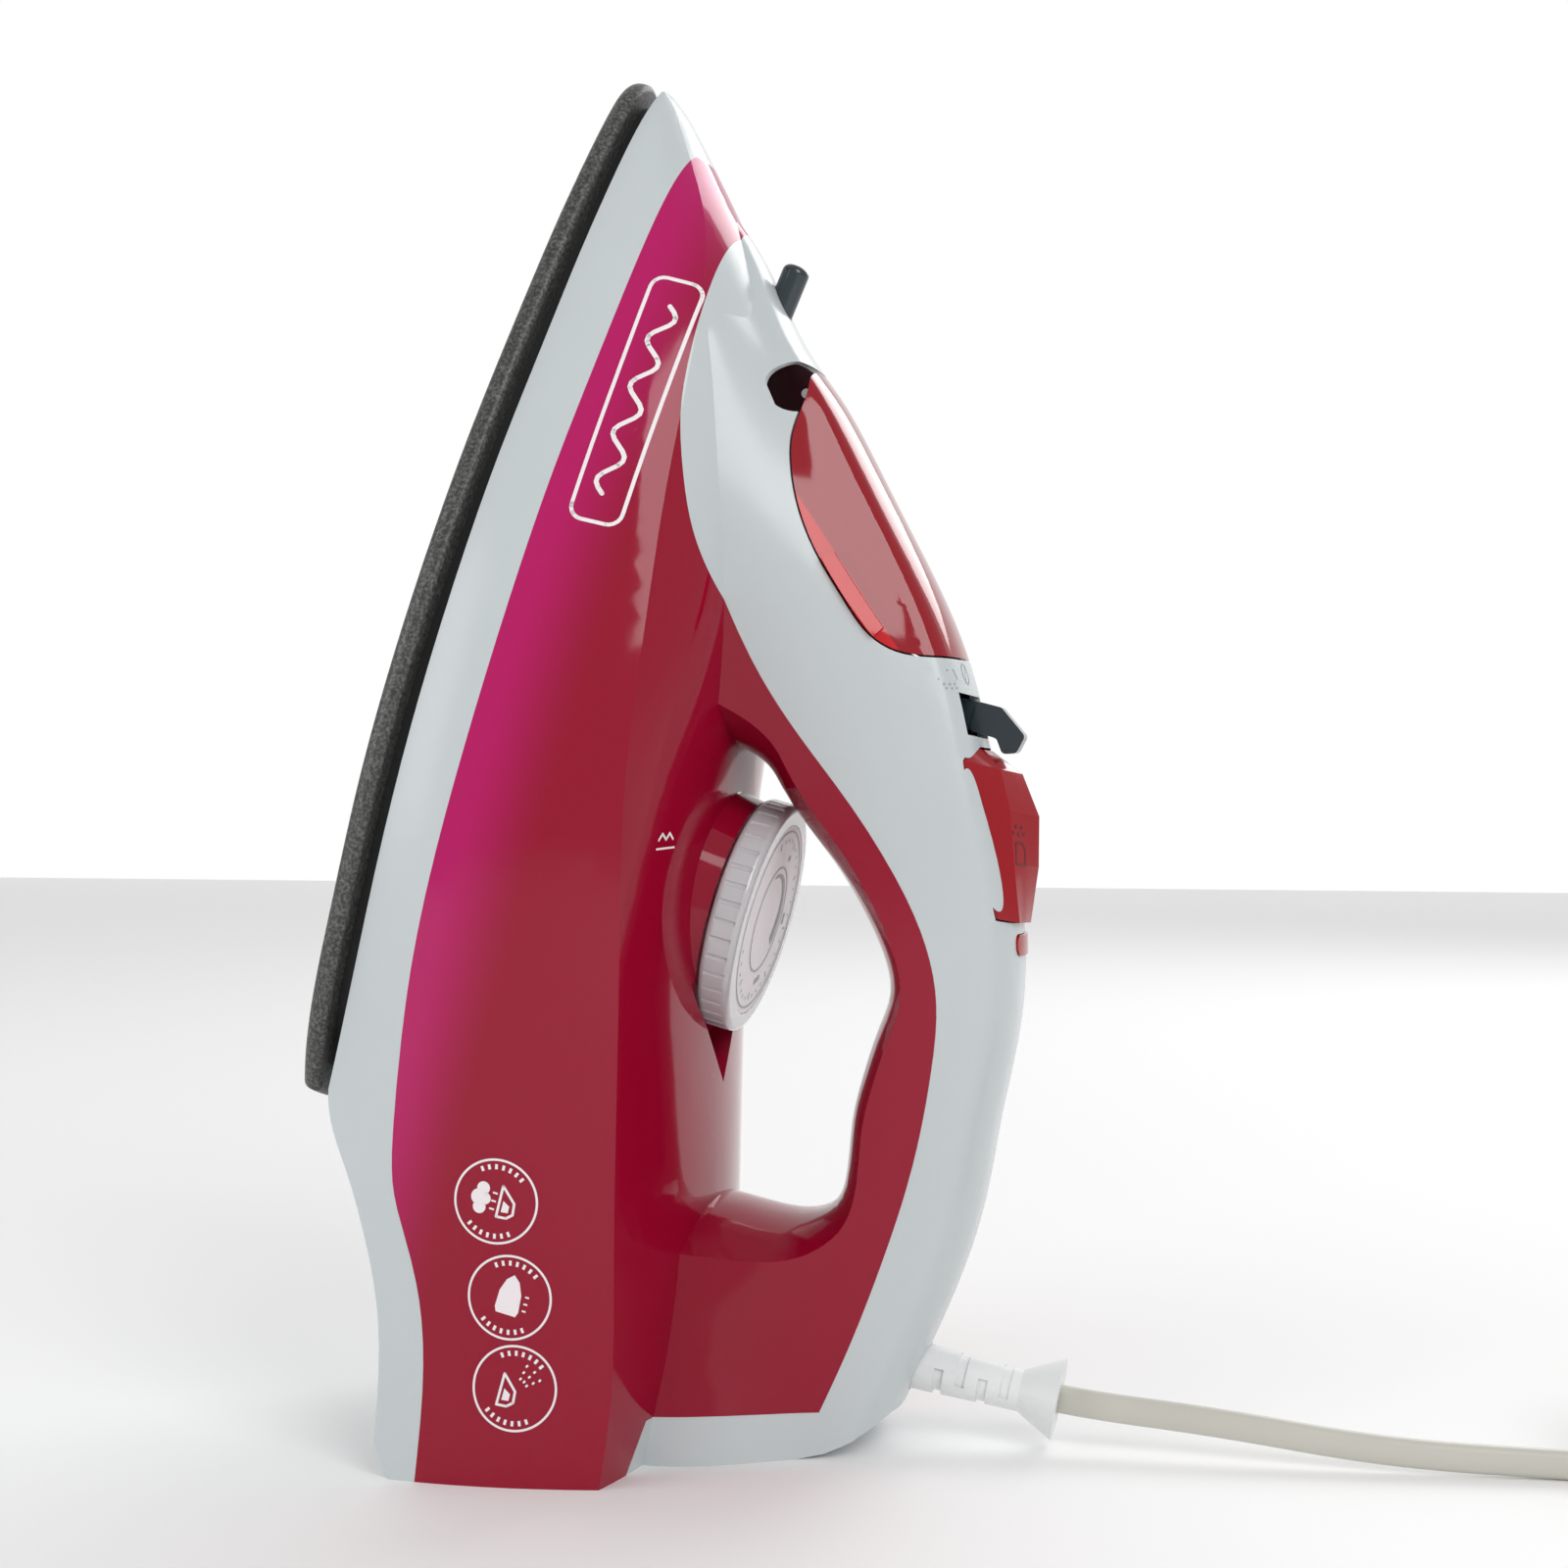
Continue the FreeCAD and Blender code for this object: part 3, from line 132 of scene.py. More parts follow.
def speckle():
    # sparse flecks of a second tone
    group, given, result = newGroup(
        "speckle",
        [("Scale", "NodeSocketFloat", 900.0), ("Share", "NodeSocketFloat", 0.3)],
        [("Mask", "NodeSocketFloat")])
    nodes, links = group.nodes, group.links
    place = nodes.new("ShaderNodeTexCoord")
    cells = nodes.new("ShaderNodeTexNoise")
    cells.inputs["Detail"].default_value = 3.0
    cut = nodes.new("ShaderNodeMapRange")
    cut.inputs["From Min"].default_value = 0.42
    cut.inputs["From Max"].default_value = 0.78
    gain = nodes.new("ShaderNodeMath")
    gain.operation = "MULTIPLY"
    links.new(place.outputs["Object"], cells.inputs["Vector"])
    links.new(given.outputs["Scale"], cells.inputs["Scale"])
    links.new(cells.outputs["Fac"], cut.inputs["Value"])
    links.new(cut.outputs["Result"], gain.inputs[0])
    links.new(given.outputs["Share"], gain.inputs[1])
    links.new(gain.outputs["Value"], result.inputs["Mask"])
    return group


finishGroup = mouldedFinish()
speckleGroup = speckle()


def startMaterial(name):
    material = bpy.data.materials.new(name)
    material.use_nodes = True
    shader = material.node_tree.nodes["Principled BSDF"]
    return material, shader, material.node_tree.nodes, material.node_tree.links


def mouldedMaterial(name, look):
    # a moulded plastic: two close tones, a finish and a faint relief
    material, shader, nodes, links = startMaterial(name)
    finish = nodes.new("ShaderNodeGroup")
    finish.node_tree = finishGroup
    finish.inputs["Wave"].default_value = look.get("wave", 1.0)
    finish.inputs["Scratch"].default_value = look.get("scratch", 0.5)
    finish.inputs["Roughness"].default_value = look["roughness"]
    tone = nodes.new("ShaderNodeMix")
    tone.data_type = "RGBA"
    tone.inputs["A"].default_value = (*look["colour"], 1.0)
    tone.inputs["B"].default_value = (*look.get("second", look["colour"]), 1.0)
    bump = nodes.new("ShaderNodeBump")
    bump.inputs["Strength"].default_value = look.get("relief", 0.05)
    bump.inputs["Distance"].default_value = 0.0004
    links.new(finish.outputs["Tone"], tone.inputs["Factor"])
    links.new(tone.outputs["Result"], shader.inputs["Base Color"])
    links.new(finish.outputs["Roughness"], shader.inputs["Roughness"])
    links.new(finish.outputs["Height"], bump.inputs["Height"])
    links.new(bump.outputs["Normal"], shader.inputs["Normal"])
    shader.inputs["Metallic"].default_value = look.get("metallic", 0.0)
    shader.inputs["Coat Weight"].default_value = look.get("coat", 0.0)
    shader.inputs["Coat Roughness"].default_value = 0.06
    shader.inputs["Transmission Weight"].default_value = look.get("clear", 0.0)
    shader.inputs["Subsurface Weight"].default_value = look.get("soft", 0.0)
    shader.inputs["Subsurface Radius"].default_value = (0.004, 0.003, 0.003)
    shader.inputs["IOR"].default_value = 1.47
    shader.inputs["Specular IOR Level"].default_value = look.get("shine", 0.5)
    return material


def soleMaterial():
    # non-stick coating: dark grey with pale flecks and a slight sheen
    material, shader, nodes, links = startMaterial("soleCoating")
    fleck = nodes.new("ShaderNodeGroup")
    fleck.node_tree = speckleGroup
    fleck.inputs["Scale"].default_value = 1500.0
    fleck.inputs["Share"].default_value = 0.75
    tone = nodes.new("ShaderNodeMix")
    tone.data_type = "RGBA"
    tone.inputs["A"].default_value = (0.032, 0.033, 0.031, 1.0)
    tone.inputs["B"].default_value = (0.2, 0.2, 0.19, 1.0)
    bump = nodes.new("ShaderNodeBump")
    bump.inputs["Strength"].default_value = 0.25
    bump.inputs["Distance"].default_value = 0.0002
    links.new(fleck.outputs["Mask"], tone.inputs["Factor"])
    links.new(tone.outputs["Result"], shader.inputs["Base Color"])
    links.new(fleck.outputs["Mask"], bump.inputs["Height"])
    links.new(bump.outputs["Normal"], shader.inputs["Normal"])
    shader.inputs["Roughness"].default_value = 0.42
    shader.inputs["Metallic"].default_value = 0.15
    return material


def tankMaterial():
    # clear magenta plastic that deepens to crimson away from the skirt
    look = {"rim": (0.56, 0.006, 0.145), "deep": (0.36, 0.003, 0.028), "start": 0.022, "end": 0.040}
    material, shader, nodes, links = startMaterial("tankPlastic")
    finish = nodes.new("ShaderNodeGroup")
    finish.node_tree = finishGroup
    finish.inputs["Wave"].default_value = 1.6
    finish.inputs["Scratch"].default_value = 0.35
    finish.inputs["Roughness"].default_value = 0.07
    place = nodes.new("ShaderNodeTexCoord")
    rise = nodes.new("ShaderNodeVectorMath")
    rise.operation = "DOT_PRODUCT"
    rise.inputs[1].default_value = upAxis
    level = nodes.new("ShaderNodeMapRange")
    foot = bench(0, 0).dot(upAxis)
    level.inputs["From Min"].default_value = foot + look["start"]
    level.inputs["From Max"].default_value = foot + look["end"]
    level.interpolation_type = "SMOOTHSTEP"
    tone = nodes.new("ShaderNodeMix")
    tone.data_type = "RGBA"
    tone.inputs["A"].default_value = (*look["rim"], 1.0)
    tone.inputs["B"].default_value = (*look["deep"], 1.0)
    bump = nodes.new("ShaderNodeBump")
    bump.inputs["Strength"].default_value = 0.08
    bump.inputs["Distance"].default_value = 0.0005
    links.new(place.outputs["Object"], rise.inputs[0])
    links.new(rise.outputs["Value"], level.inputs["Value"])
    links.new(level.outputs["Result"], tone.inputs["Factor"])
    links.new(tone.outputs["Result"], shader.inputs["Base Color"])
    links.new(finish.outputs["Roughness"], shader.inputs["Roughness"])
    links.new(finish.outputs["Height"], bump.inputs["Height"])
    links.new(bump.outputs["Normal"], shader.inputs["Normal"])
    shader.inputs["Transmission Weight"].default_value = 0.25
    shader.inputs["IOR"].default_value = 1.46
    shader.inputs["Specular IOR Level"].default_value = 0.35
    return material


def doorMaterial():
    # deep red, with a brighter red band along its lower edge over the thumb rib: the brighter red is a painted
    # highlight, standing in for light caught by the raised rib
    look = {"deep": (0.27, 0.002, 0.010), "rib": (0.52, 0.006, 0.010), "ribPlace": (87.0, 73.2),
            "ribAcross": (0.740, -0.673)}
    material, shader, nodes, links = startMaterial("doorPlastic")
    finish = nodes.new("ShaderNodeGroup")
    finish.node_tree = finishGroup
    finish.inputs["Wave"].default_value = 1.0
    finish.inputs["Scratch"].default_value = 0.3
    finish.inputs["Roughness"].default_value = 0.06
    place = nodes.new("ShaderNodeTexCoord")
    aside = nodes.new("ShaderNodeVectorMath")
    aside.operation = "DOT_PRODUCT"
    across = backAxis * look["ribAcross"][0] + upAxis * look["ribAcross"][1]
    aside.inputs[1].default_value = across
    edge = nodes.new("ShaderNodeMapRange")
    start = bench(*look["ribPlace"]).dot(across)
    edge.inputs["From Min"].default_value = start - 0.0002
    edge.inputs["From Max"].default_value = start + 0.0001
    # painted highlight: past the rib line the door turns the brighter red
    tone = nodes.new("ShaderNodeMix")
    tone.data_type = "RGBA"
    tone.inputs["A"].default_value = (*look["deep"], 1.0)
    tone.inputs["B"].default_value = (*look["rib"], 1.0)
    bump = nodes.new("ShaderNodeBump")
    bump.inputs["Strength"].default_value = 0.05
    bump.inputs["Distance"].default_value = 0.0004
    links.new(place.outputs["Object"], aside.inputs[0])
    links.new(aside.outputs["Value"], edge.inputs["Value"])
    links.new(edge.outputs["Result"], tone.inputs["Factor"])
    links.new(tone.outputs["Result"], shader.inputs["Base Color"])
    links.new(finish.outputs["Roughness"], shader.inputs["Roughness"])
    links.new(finish.outputs["Height"], bump.inputs["Height"])
    links.new(bump.outputs["Normal"], shader.inputs["Normal"])
    return material


def metalMaterial(name, look):
    # cast or pressed metal with a grainy finish
    return mouldedMaterial(name, {**look, "metallic": 1.0, "scratch": 1.0, "relief": look.get("relief", 0.25)})


looks = {
    "whitePlastic": {"colour": (0.50, 0.54, 0.55), "second": (0.54, 0.58, 0.59), "roughness": 0.24, "relief": 0.03},
    "buttonRed": {"colour": (0.29, 0.004, 0.010), "second": (0.32, 0.006, 0.012), "roughness": 0.12, "shine": 0.4},
    "slatePlastic": {"colour": (0.018, 0.030, 0.038), "second": (0.024, 0.036, 0.044), "roughness": 0.2, "coat": 0.3},
    "heatCollar": {"colour": (0.008, 0.008, 0.008), "second": (0.014, 0.014, 0.014), "roughness": 0.5},
    "siliconeRed": {"colour": (0.32, 0.06, 0.035), "second": (0.28, 0.05, 0.03), "roughness": 0.55},
    "tankFloorRed": {"colour": (0.36, 0.008, 0.06), "second": (0.32, 0.006, 0.05), "roughness": 0.25},
    "nylon": {"colour": (0.72, 0.72, 0.68), "second": (0.68, 0.68, 0.63), "roughness": 0.4, "soft": 0.2},
    "dialPlastic": {"colour": (0.86, 0.85, 0.88), "second": (0.9, 0.89, 0.92), "roughness": 0.12, "clear": 0.45,
                    "coat": 0.5},
    "dialDisc": {"colour": (0.80, 0.80, 0.83), "second": (0.83, 0.83, 0.85), "roughness": 0.35},
    "lensRed": {"colour": (0.45, 0.006, 0.01), "second": (0.5, 0.008, 0.012), "roughness": 0.08, "clear": 0.3},
    "lampGlass": {"colour": (0.9, 0.5, 0.3), "second": (0.9, 0.55, 0.35), "roughness": 0.05, "clear": 0.8},
    "fuseSleeve": {"colour": (0.7, 0.68, 0.58), "second": (0.6, 0.58, 0.5), "roughness": 0.7},
    "wireSleeve": {"colour": (0.6, 0.6, 0.57), "second": (0.55, 0.55, 0.52), "roughness": 0.5},
    "guardPlastic": {"colour": (0.74, 0.76, 0.76), "second": (0.78, 0.79, 0.79), "roughness": 0.34, "soft": 0.15},
    "cordSleeve": {"colour": (0.50, 0.49, 0.43), "second": (0.56, 0.55, 0.49), "roughness": 0.3, "relief": 0.1},
    "tieWhite": {"colour": (0.8, 0.8, 0.78), "second": (0.76, 0.76, 0.74), "roughness": 0.4},
    "printWhite": {"colour": (0.80, 0.74, 0.76), "second": (0.84, 0.78, 0.80), "roughness": 0.4},
    # painted shade: a dark red standing in for the shade in the embossed icon on the spray button
    "embossShadeRed": {"colour": (0.10, 0.002, 0.004), "second": (0.12, 0.002, 0.005), "roughness": 0.4},
    "printGrey": {"colour": (0.30, 0.33, 0.36), "second": (0.34, 0.36, 0.39), "roughness": 0.4},
}
metals = {
    "castAluminium": {"colour": (0.55, 0.55, 0.55), "second": (0.62, 0.62, 0.61), "roughness": 0.42},
    "elementSteel": {"colour": (0.28, 0.26, 0.24), "second": (0.36, 0.33, 0.3), "roughness": 0.4},
    "coverSteel": {"colour": (0.5, 0.5, 0.5), "second": (0.58, 0.58, 0.57), "roughness": 0.28},
    "screwSteel": {"colour": (0.46, 0.46, 0.45), "second": (0.55, 0.55, 0.54), "roughness": 0.25},
    "bladeBrass": {"colour": (0.72, 0.66, 0.5), "second": (0.76, 0.7, 0.55), "roughness": 0.22},
}
materials = {name: mouldedMaterial(name, look) for name, look in looks.items()}
materials.update({name: metalMaterial(name, look) for name, look in metals.items()})
materials["soleCoating"] = soleMaterial()
materials["tankPlastic"] = tankMaterial()
materials["doorPlastic"] = doorMaterial()

pieceMaterials = {
    "soleCoating": ["soleplate"],
    "heatCollar": ["collar"],
    "castAluminium": ["sole_casting"],
    "elementSteel": ["heating_element"],
    "siliconeRed": ["chamber_gasket", "tank_floor_seal", "door_seal", "valve_seat"],
    "coverSteel": ["chamber_cover", "thermostat"],
    "whitePlastic": ["skirt", "handle_shell", "rear_cover", "cord_clamp"],
    "tankPlastic": ["tank_body"],
    "tankFloorRed": ["tank_floor", "tank_bulkhead", "tank_deck", "filler_chute"],
    "screwSteel": ["body_screws", "door_pin", "lever_pin", "dial_shaft", "spray_spring", "burst_spring"],
    "doorPlastic": ["fill_door"],
    "buttonRed": ["spray_button", "burst_button"],
    "slatePlastic": ["spray_nozzle", "steam_lever"],
    "nylon": ["valve_needle", "terminal_block", "spray_piston", "burst_piston", "spray_barrel", "burst_barrel"],
    "dialPlastic": ["dial_knob"],
    "dialDisc": ["dial_disc"],
    "lensRed": ["indicator_lens"],
    "lampGlass": ["indicator_lamp"],
    "fuseSleeve": ["thermal_fuse"],
    "wireSleeve": ["inner_wires"],
    "guardPlastic": ["cord_guard"],
    "cordSleeve": ["plug_body"],
    "bladeBrass": ["plug_blades"],
    "tieWhite": ["cord_tie"],
}
for materialName, nodeNames in pieceMaterials.items():
    for nodeName in nodeNames:
        node = frame["nodes"][nodeName]
        node.data.materials.clear()
        node.data.materials.append(materials[materialName])
print("materials set")


def surfaceOf(nodeName):
    # a tree of one CAD node's faces, to lay prints on
    mesh = frame["nodes"][nodeName].data
    points = [vertex.co.copy() for vertex in mesh.vertices]
    return BVHTree.FromPolygons(points, [list(polygon.vertices) for polygon in mesh.polygons])


def finishPiece(name, bm, material, body):
    mesh = bpy.data.meshes.new(name)
    bm.to_mesh(mesh)
    bm.free()
    piece = bpy.data.objects.new(name, mesh)
    bpy.context.collection.objects.link(piece)
    mesh.materials.append(materials[material])
    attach(piece, body)


def layOn(bm, tree, toward, lift):
    # drop every point along a direction onto a surface, a hair proud of it
    for vertex in bm.verts:
        spot = tree.ray_cast(vertex.co, toward)[0]
        if spot is None:
            raise ValueError("a printed mark hangs over the edge of its surface")
        vertex.co = spot - toward * lift


def ring(bm, radius, width, segments=48):
    loops = []
    for size in (radius, radius - width):
        made = bmesh.ops.create_circle(bm, cap_ends=False, segments=segments, radius=size)["verts"]
        loops += {edge for vertex in made for edge in vertex.link_edges}
    bmesh.ops.bridge_loops(bm, edges=loops)


def bar(bm, start, end, width, cuts=0):
    # a flat bar between two points
    start, end = Vector(start), Vector(end)
    made = bmesh.ops.create_grid(bm, x_segments=1, y_segments=1, size=0.5)["verts"]
    run = end - start
    bmesh.ops.scale(bm, vec=(run.length, width, 1.0), verts=made)
    bmesh.ops.rotate(bm, matrix=Matrix.Rotation(math.atan2(run.y, run.x), 3, "Z"), verts=made)
    bmesh.ops.translate(bm, vec=(*((start + end) / 2), 0.0), verts=made)
    if cuts:
        edges = list({edge for vertex in made for edge in vertex.link_edges})
        longest = max(edge.calc_length() for edge in edges)
        sides = [edge for edge in edges if edge.calc_length() > 0.9 * longest]
        bmesh.ops.subdivide_edges(bm, edges=sides, cuts=cuts)


def dot(bm, centre, radius):
    made = bmesh.ops.create_circle(bm, cap_ends=True, segments=20, radius=radius)["verts"]
    bmesh.ops.translate(bm, vec=(*centre, 0.0), verts=made)


def roundedFrame(bm, length, height, corner, width):
    points = []
    for x, y, start in ((1, 1, 0), (-1, 1, 90), (-1, -1, 180), (1, -1, 270)):
        for i in range(6):
            turn = math.radians(start + 18 * i)
            points.append((x * (length / 2 - corner) + corner * math.cos(turn),
                           y * (height / 2 - corner) + corner * math.sin(turn)))
    loop = points + points[:1]
    for start, end in zip(loop[:-1], loop[1:]):
        far = (Vector(end) - Vector(start)).length
        bar(bm, start, end, width, cuts=int(far / 2))
        dot(bm, end, width / 2)


def polyline(bm, points, width):
    for start, end in zip(points[:-1], points[1:]):
        bar(bm, start, end, width)
        dot(bm, end, width / 2)
    dot(bm, points[0], width / 2)


def placeFlat(bm, origin, right, up):
    # flat artwork in millimetres onto a plane in the row frame
    for vertex in bm.verts:
        x, y, _ = vertex.co
        vertex.co = origin + (right * x + up * y) / 1000


def filled(bm, outline):
    bm.faces.new([bm.verts.new((*point, 0.0)) for point in outline])


def benchHeading(s, h, y):
    return (backAxis * s + upAxis * h + acrossAxis * y).normalized()


def surfaceMark(name, spec, draw):
    # artwork in millimetres, centred on a place of the iron and laid onto the surface under it
    bm = bmesh.new()
    draw(bm)
    toward = benchHeading(*spec["toward"])
    right = benchHeading(*spec["right"])
    right = (right - toward * right.dot(toward)).normalized()
    up = right.cross(toward)
    placeFlat(bm, bench(*spec["place"]) - toward * 0.02, right, up)
    layOn(bm, surfaceOf(spec["node"]), toward, 0.00007)
    finishPiece(name, bm, spec["print"], spec.get("body", "iron"))


sideMark = {"node": "tank_body", "toward": (0, 0, 1), "print": "printWhite"}


def drawPlate(bm):
    # a rounded frame with a plain wavy line in it
    roundedFrame(bm, 51.5, 10.0, 2.6, 0.75)
    wave = [(-20 + i, 1.9 * math.sin(i * math.pi / 5)) for i in range(41)]
    polyline(bm, wave, 0.9)


def drawBadge(bm):
    # the ring of a badge, with two arcs of plain dashes inside it
    ring(bm, 8.4, 0.45, segments=64)
    for side in (0, 180):
        for i in range(7):
            turn = math.radians(side - 36 + 12 * i)
            heading = Vector((math.cos(turn), math.sin(turn)))
            bar(bm, heading * 6.3, heading * 7.3, 0.55)


def drawIron(bm, x, y):
    # a small iron in outline, nose to the left
    outline = [(-3.4, -1.4), (2.8, -1.4), (2.6, 0.6), (1.6, 1.7), (-0.6, 1.5), (-3.4, -1.4)]
    polyline(bm, [(x + a, y + b) for a, b in outline], 0.5)
    filled(bm, [(x - 0.6, y - 0.7), (x + 1.7, y - 0.7), (x + 1.5, y + 0.7), (x + 0.2, y + 0.7)])


def drawSteam(bm):
    drawBadge(bm)
    drawIron(bm, 0.0, 2.2)
    for x, y, size in ((-1.9, -2.9, 1.3), (0.0, -3.4, 1.6), (1.9, -2.9, 1.3), (0.0, -2.2, 1.2)):
        dot(bm, (x, y), size)
    for x in (-1.6, 0.0, 1.6):
        bar(bm, (x, -0.9), (x, 0.1), 0.35)


def drawSole(bm):
    drawBadge(bm)
    half = [(4.6, 0.0), (3.4, 1.3), (1.0, 2.2), (-2.4, 2.4), (-3.4, 2.0)]
    filled(bm, [(-x, y) for x, y in half] + [(-x, -y) for x, y in reversed(half[1:])])
    for x in (-1.0, 0.4, 1.8):
        bar(bm, (x, 3.0), (x, 3.8), 0.35)


def drawSpray(bm):
    drawBadge(bm)
    drawIron(bm, 1.2, -1.2)
    for row, reach in enumerate((2.6, 4.0, 5.4)):
        for step in range(-1, 2):
            turn = math.radians(148 + 20 * step)
            bar(bm, (1.0 + reach * math.cos(turn) - 0.3, reach * math.sin(turn)),
                (0.5 + reach * math.cos(turn) - 0.3, 0.3 + reach * math.sin(turn)), 0.4)


def drawLevel(bm):
    bar(bm, (-3.2, -1.7), (3.2, -1.7), 0.4)
    polyline(bm, [(-2.4, 0.0), (-1.2, 1.2), (0.0, 0.0), (1.2, 1.2), (2.4, 0.0)], 0.5)


surfaceMark("maker_plate", {**sideMark, "place": (68.0, 30.2, -40), "right": (1, 0.028, 0)}, drawPlate)
surfaceMark("steam_mark", {**sideMark, "place": (225.1, 48.3, -50), "right": (1, 0.0, 0)}, drawSteam)
surfaceMark("sole_mark", {**sideMark, "place": (242.6, 55.4, -50), "right": (1, 0.0, 0)}, drawSole)
surfaceMark("spray_mark", {**sideMark, "place": (259.4, 60.8, -50), "right": (1, 0.0, 0)}, drawSpray)
surfaceMark("fill_line", {
    **sideMark, "place": (150.2, 58.6, -36.5), "right": (-1.4, 3.2, 10.2), "toward": (0.0, -0.93, 0.37)}, drawLevel)


def drawSteamOn(bm):
    polyline(bm, [(-2.6, -0.6), (2.4, -0.6), (1.6, 1.2), (-0.4, 1.2), (-2.6, -0.6)], 0.3)
    for x in (-1.4, 0.0, 1.4):
        dot(bm, (x, -1.5), 0.26)
        dot(bm, (x + 0.5, -2.3), 0.24)


def drawSteamOff(bm):
    ring(bm, 2.0, 0.35, segments=32)
    bar(bm, (-1.3, -1.3), (1.3, 1.3), 0.32)


shellMark = {"node": "handle_shell", "right": (-1.6, 2.9, 8.9), "print": "printGrey"}
surfaceMark("steam_on_mark", {**shellMark, "place": (105.0, 100.6, -13.6), "toward": (0, -0.6, 0.8)}, drawSteamOn)
surfaceMark("steam_off_mark", {**shellMark, "place": (103.7, 102.8, -6.3), "toward": (0, -1, 0.1)}, drawSteamOff)


# the droplet icon embossed on the spray button; its shape is real, its dark red is painted shade in the relief
def drawDroplet(bm):
    polyline(bm, [(-1.8, -2.6), (1.6, -2.6), (1.6, 0.4), (0.4, 1.6), (-1.8, 1.6), (-1.8, -2.6)], 0.4)
    for x, y in ((-2.6, 3.4), (-0.8, 3.2), (1.0, 3.4), (-1.7, 4.6), (0.2, 4.6)):
        dot(bm, (x, y), 0.4)


# painted shade: the embossed droplet is drawn as a dark red print on the button
surfaceMark("spray_button_emboss_shade", {
    "node": "spray_button", "place": (135.5, 124.0, -6.5), "right": (0, 0.3, 1), "toward": (0, -1, 0.3),
    "print": "embossShadeRed", "body": "spray"}, drawDroplet)

dialFace = {"tickRadius": 17.6, "ringOuter": 19.4, "ringInner": 11.5, "dotRadius": 14.0, "wedgeRadius": 9.9,
            "start": 200, "lift": 0.00008}


def dialPrint():
    # rings, ticks, dots and the wedge that widens with the heat
    bm = bmesh.new()
    ring(bm, dialFace["ringOuter"], 0.4, segments=96)
    ring(bm, dialFace["ringInner"], 0.4, segments=72)
    for i in range(28):
        turn = math.radians(dialFace["start"] - 10 * i)
        inner = dialFace["tickRadius"] - (1.6 if i % 4 == 0 else 0.8)
        heading = Vector((math.cos(turn), math.sin(turn)))
        bar(bm, heading * inner, heading * dialFace["tickRadius"], 0.45)
    for group in range(3):
        for i in range(group + 1):
            turn = math.radians(160 - 70 * group - 5 * i)
            heading = Vector((math.cos(turn), math.sin(turn)))
            dot(bm, heading * dialFace["dotRadius"], 0.7)
    steps = 30
    for i in range(steps):
        turn = math.radians(dialFace["start"] - 5 * i)
        heading = Vector((math.cos(turn), math.sin(turn)))
        depth = 0.4 + 2.6 * i / steps
        bar(bm, heading * (dialFace["wedgeRadius"] - depth), heading * dialFace["wedgeRadius"], 0.9)
    origin = dialAxle + upAxis * (discTop() - dialAxle.dot(upAxis) + dialFace["lift"])
    placeFlat(bm, origin, backAxis, acrossAxis)
    finishPiece("dial_print", bm, "printGrey", "dial")


def discTop():
    return max(vertex.co.dot(upAxis) for vertex in frame["nodes"]["dial_disc"].data.vertices)


dialPrint()
print("prints laid")


cordShape = {"width": 0.0058, "thickness": 0.0036, "diameter": 0.0056, "turns": 9.04, "radius": 0.032,
             "rest": 0.00295}
coilCentre = Vector((0.224, 0.011, 0.0105))
guardPlace = Vector(joints["guard_swivel"]["pos_m"])
guardAxis = Vector(joints["guard_swivel"]["axis"]).normalized()


def cordSection():
    # the outline of the twin flex: two round strands side by side
    outline = []
    radius = cordShape["thickness"] / 2
    offset = cordShape["width"] / 2 - radius
    for side in (1, -1):
        for i in range(9):
            turn = math.radians((-70 if side > 0 else 110) + 140 * i / 8)
            outline.append((side * offset + radius * math.cos(turn), radius * math.sin(turn)))
    curve = bpy.data.curves.new("cordSection", "CURVE")
    curve.dimensions = "2D"
    spline = curve.splines.new("POLY")
    spline.points.add(len(outline) - 1)
    for point, (x, y) in zip(spline.points, outline):
        point.co = (x, y, 0.0, 1.0)
    spline.use_cyclic_u = True
    section = bpy.data.objects.new("cordSection", curve)
    bpy.context.collection.objects.link(section)
    section.hide_render = True
    return section


def cordRoute():
    mouth = guardPlace + guardAxis * 0.036
    half = guardPlace + guardAxis * 0.01485 + Vector((0.0, 0.00025, 0.0))
    start = guardPlace - guardAxis * 0.008
    rest = cordShape["rest"]
    free = [
        (mouth.x + 0.028, -0.0015, mouth.z - 0.0016), (mouth.x + 0.062, -0.0025, rest + 0.001),
        (mouth.x + 0.095, 0.0005, rest), (0.183, 0.0008, rest)]
    return [start, half, mouth] + [Vector(point) for point in free]


def coilRoute():
    # turns wound in three layers; each turn drifts from its own place in the bundle to the next one's
    slots = [
        (4.2, -6.1), (0, -6.1), (-4.2, -6.1), (-6.3, 0), (-2.1, 0), (2.1, 0), (6.3, 0), (-2.1, 6.1), (2.1, 6.1),
        (6.0, 5.6), (6.2, 5.8)]
    steps = 20
    start = math.radians(234)
    points = []
    for i in range(int(cordShape["turns"] * steps) + 1):
        turn, part = divmod(i, steps)
        slot = Vector(slots[turn]).lerp(Vector(slots[turn + 1]), part / steps) / 1000
        angle = start + 2 * math.pi * i / steps
        reach = cordShape["radius"] + slot.x
        points.append(coilCentre + Vector((reach * math.cos(angle), reach * math.sin(angle), slot.y)))
    return points


def tailRoute():
    # off the top of the coil, round to the left and up into the plug that lies across the ring
    tail = [(3.8, -39.7, 8.6), (12.6, -37.0, 12.5), (18.0, -29.6, 16.4), (18.0, -19.0, 17.1), (18.0, -12.0, 17.1)]
    return [coilCentre + Vector(place) / 1000 for place in tail]


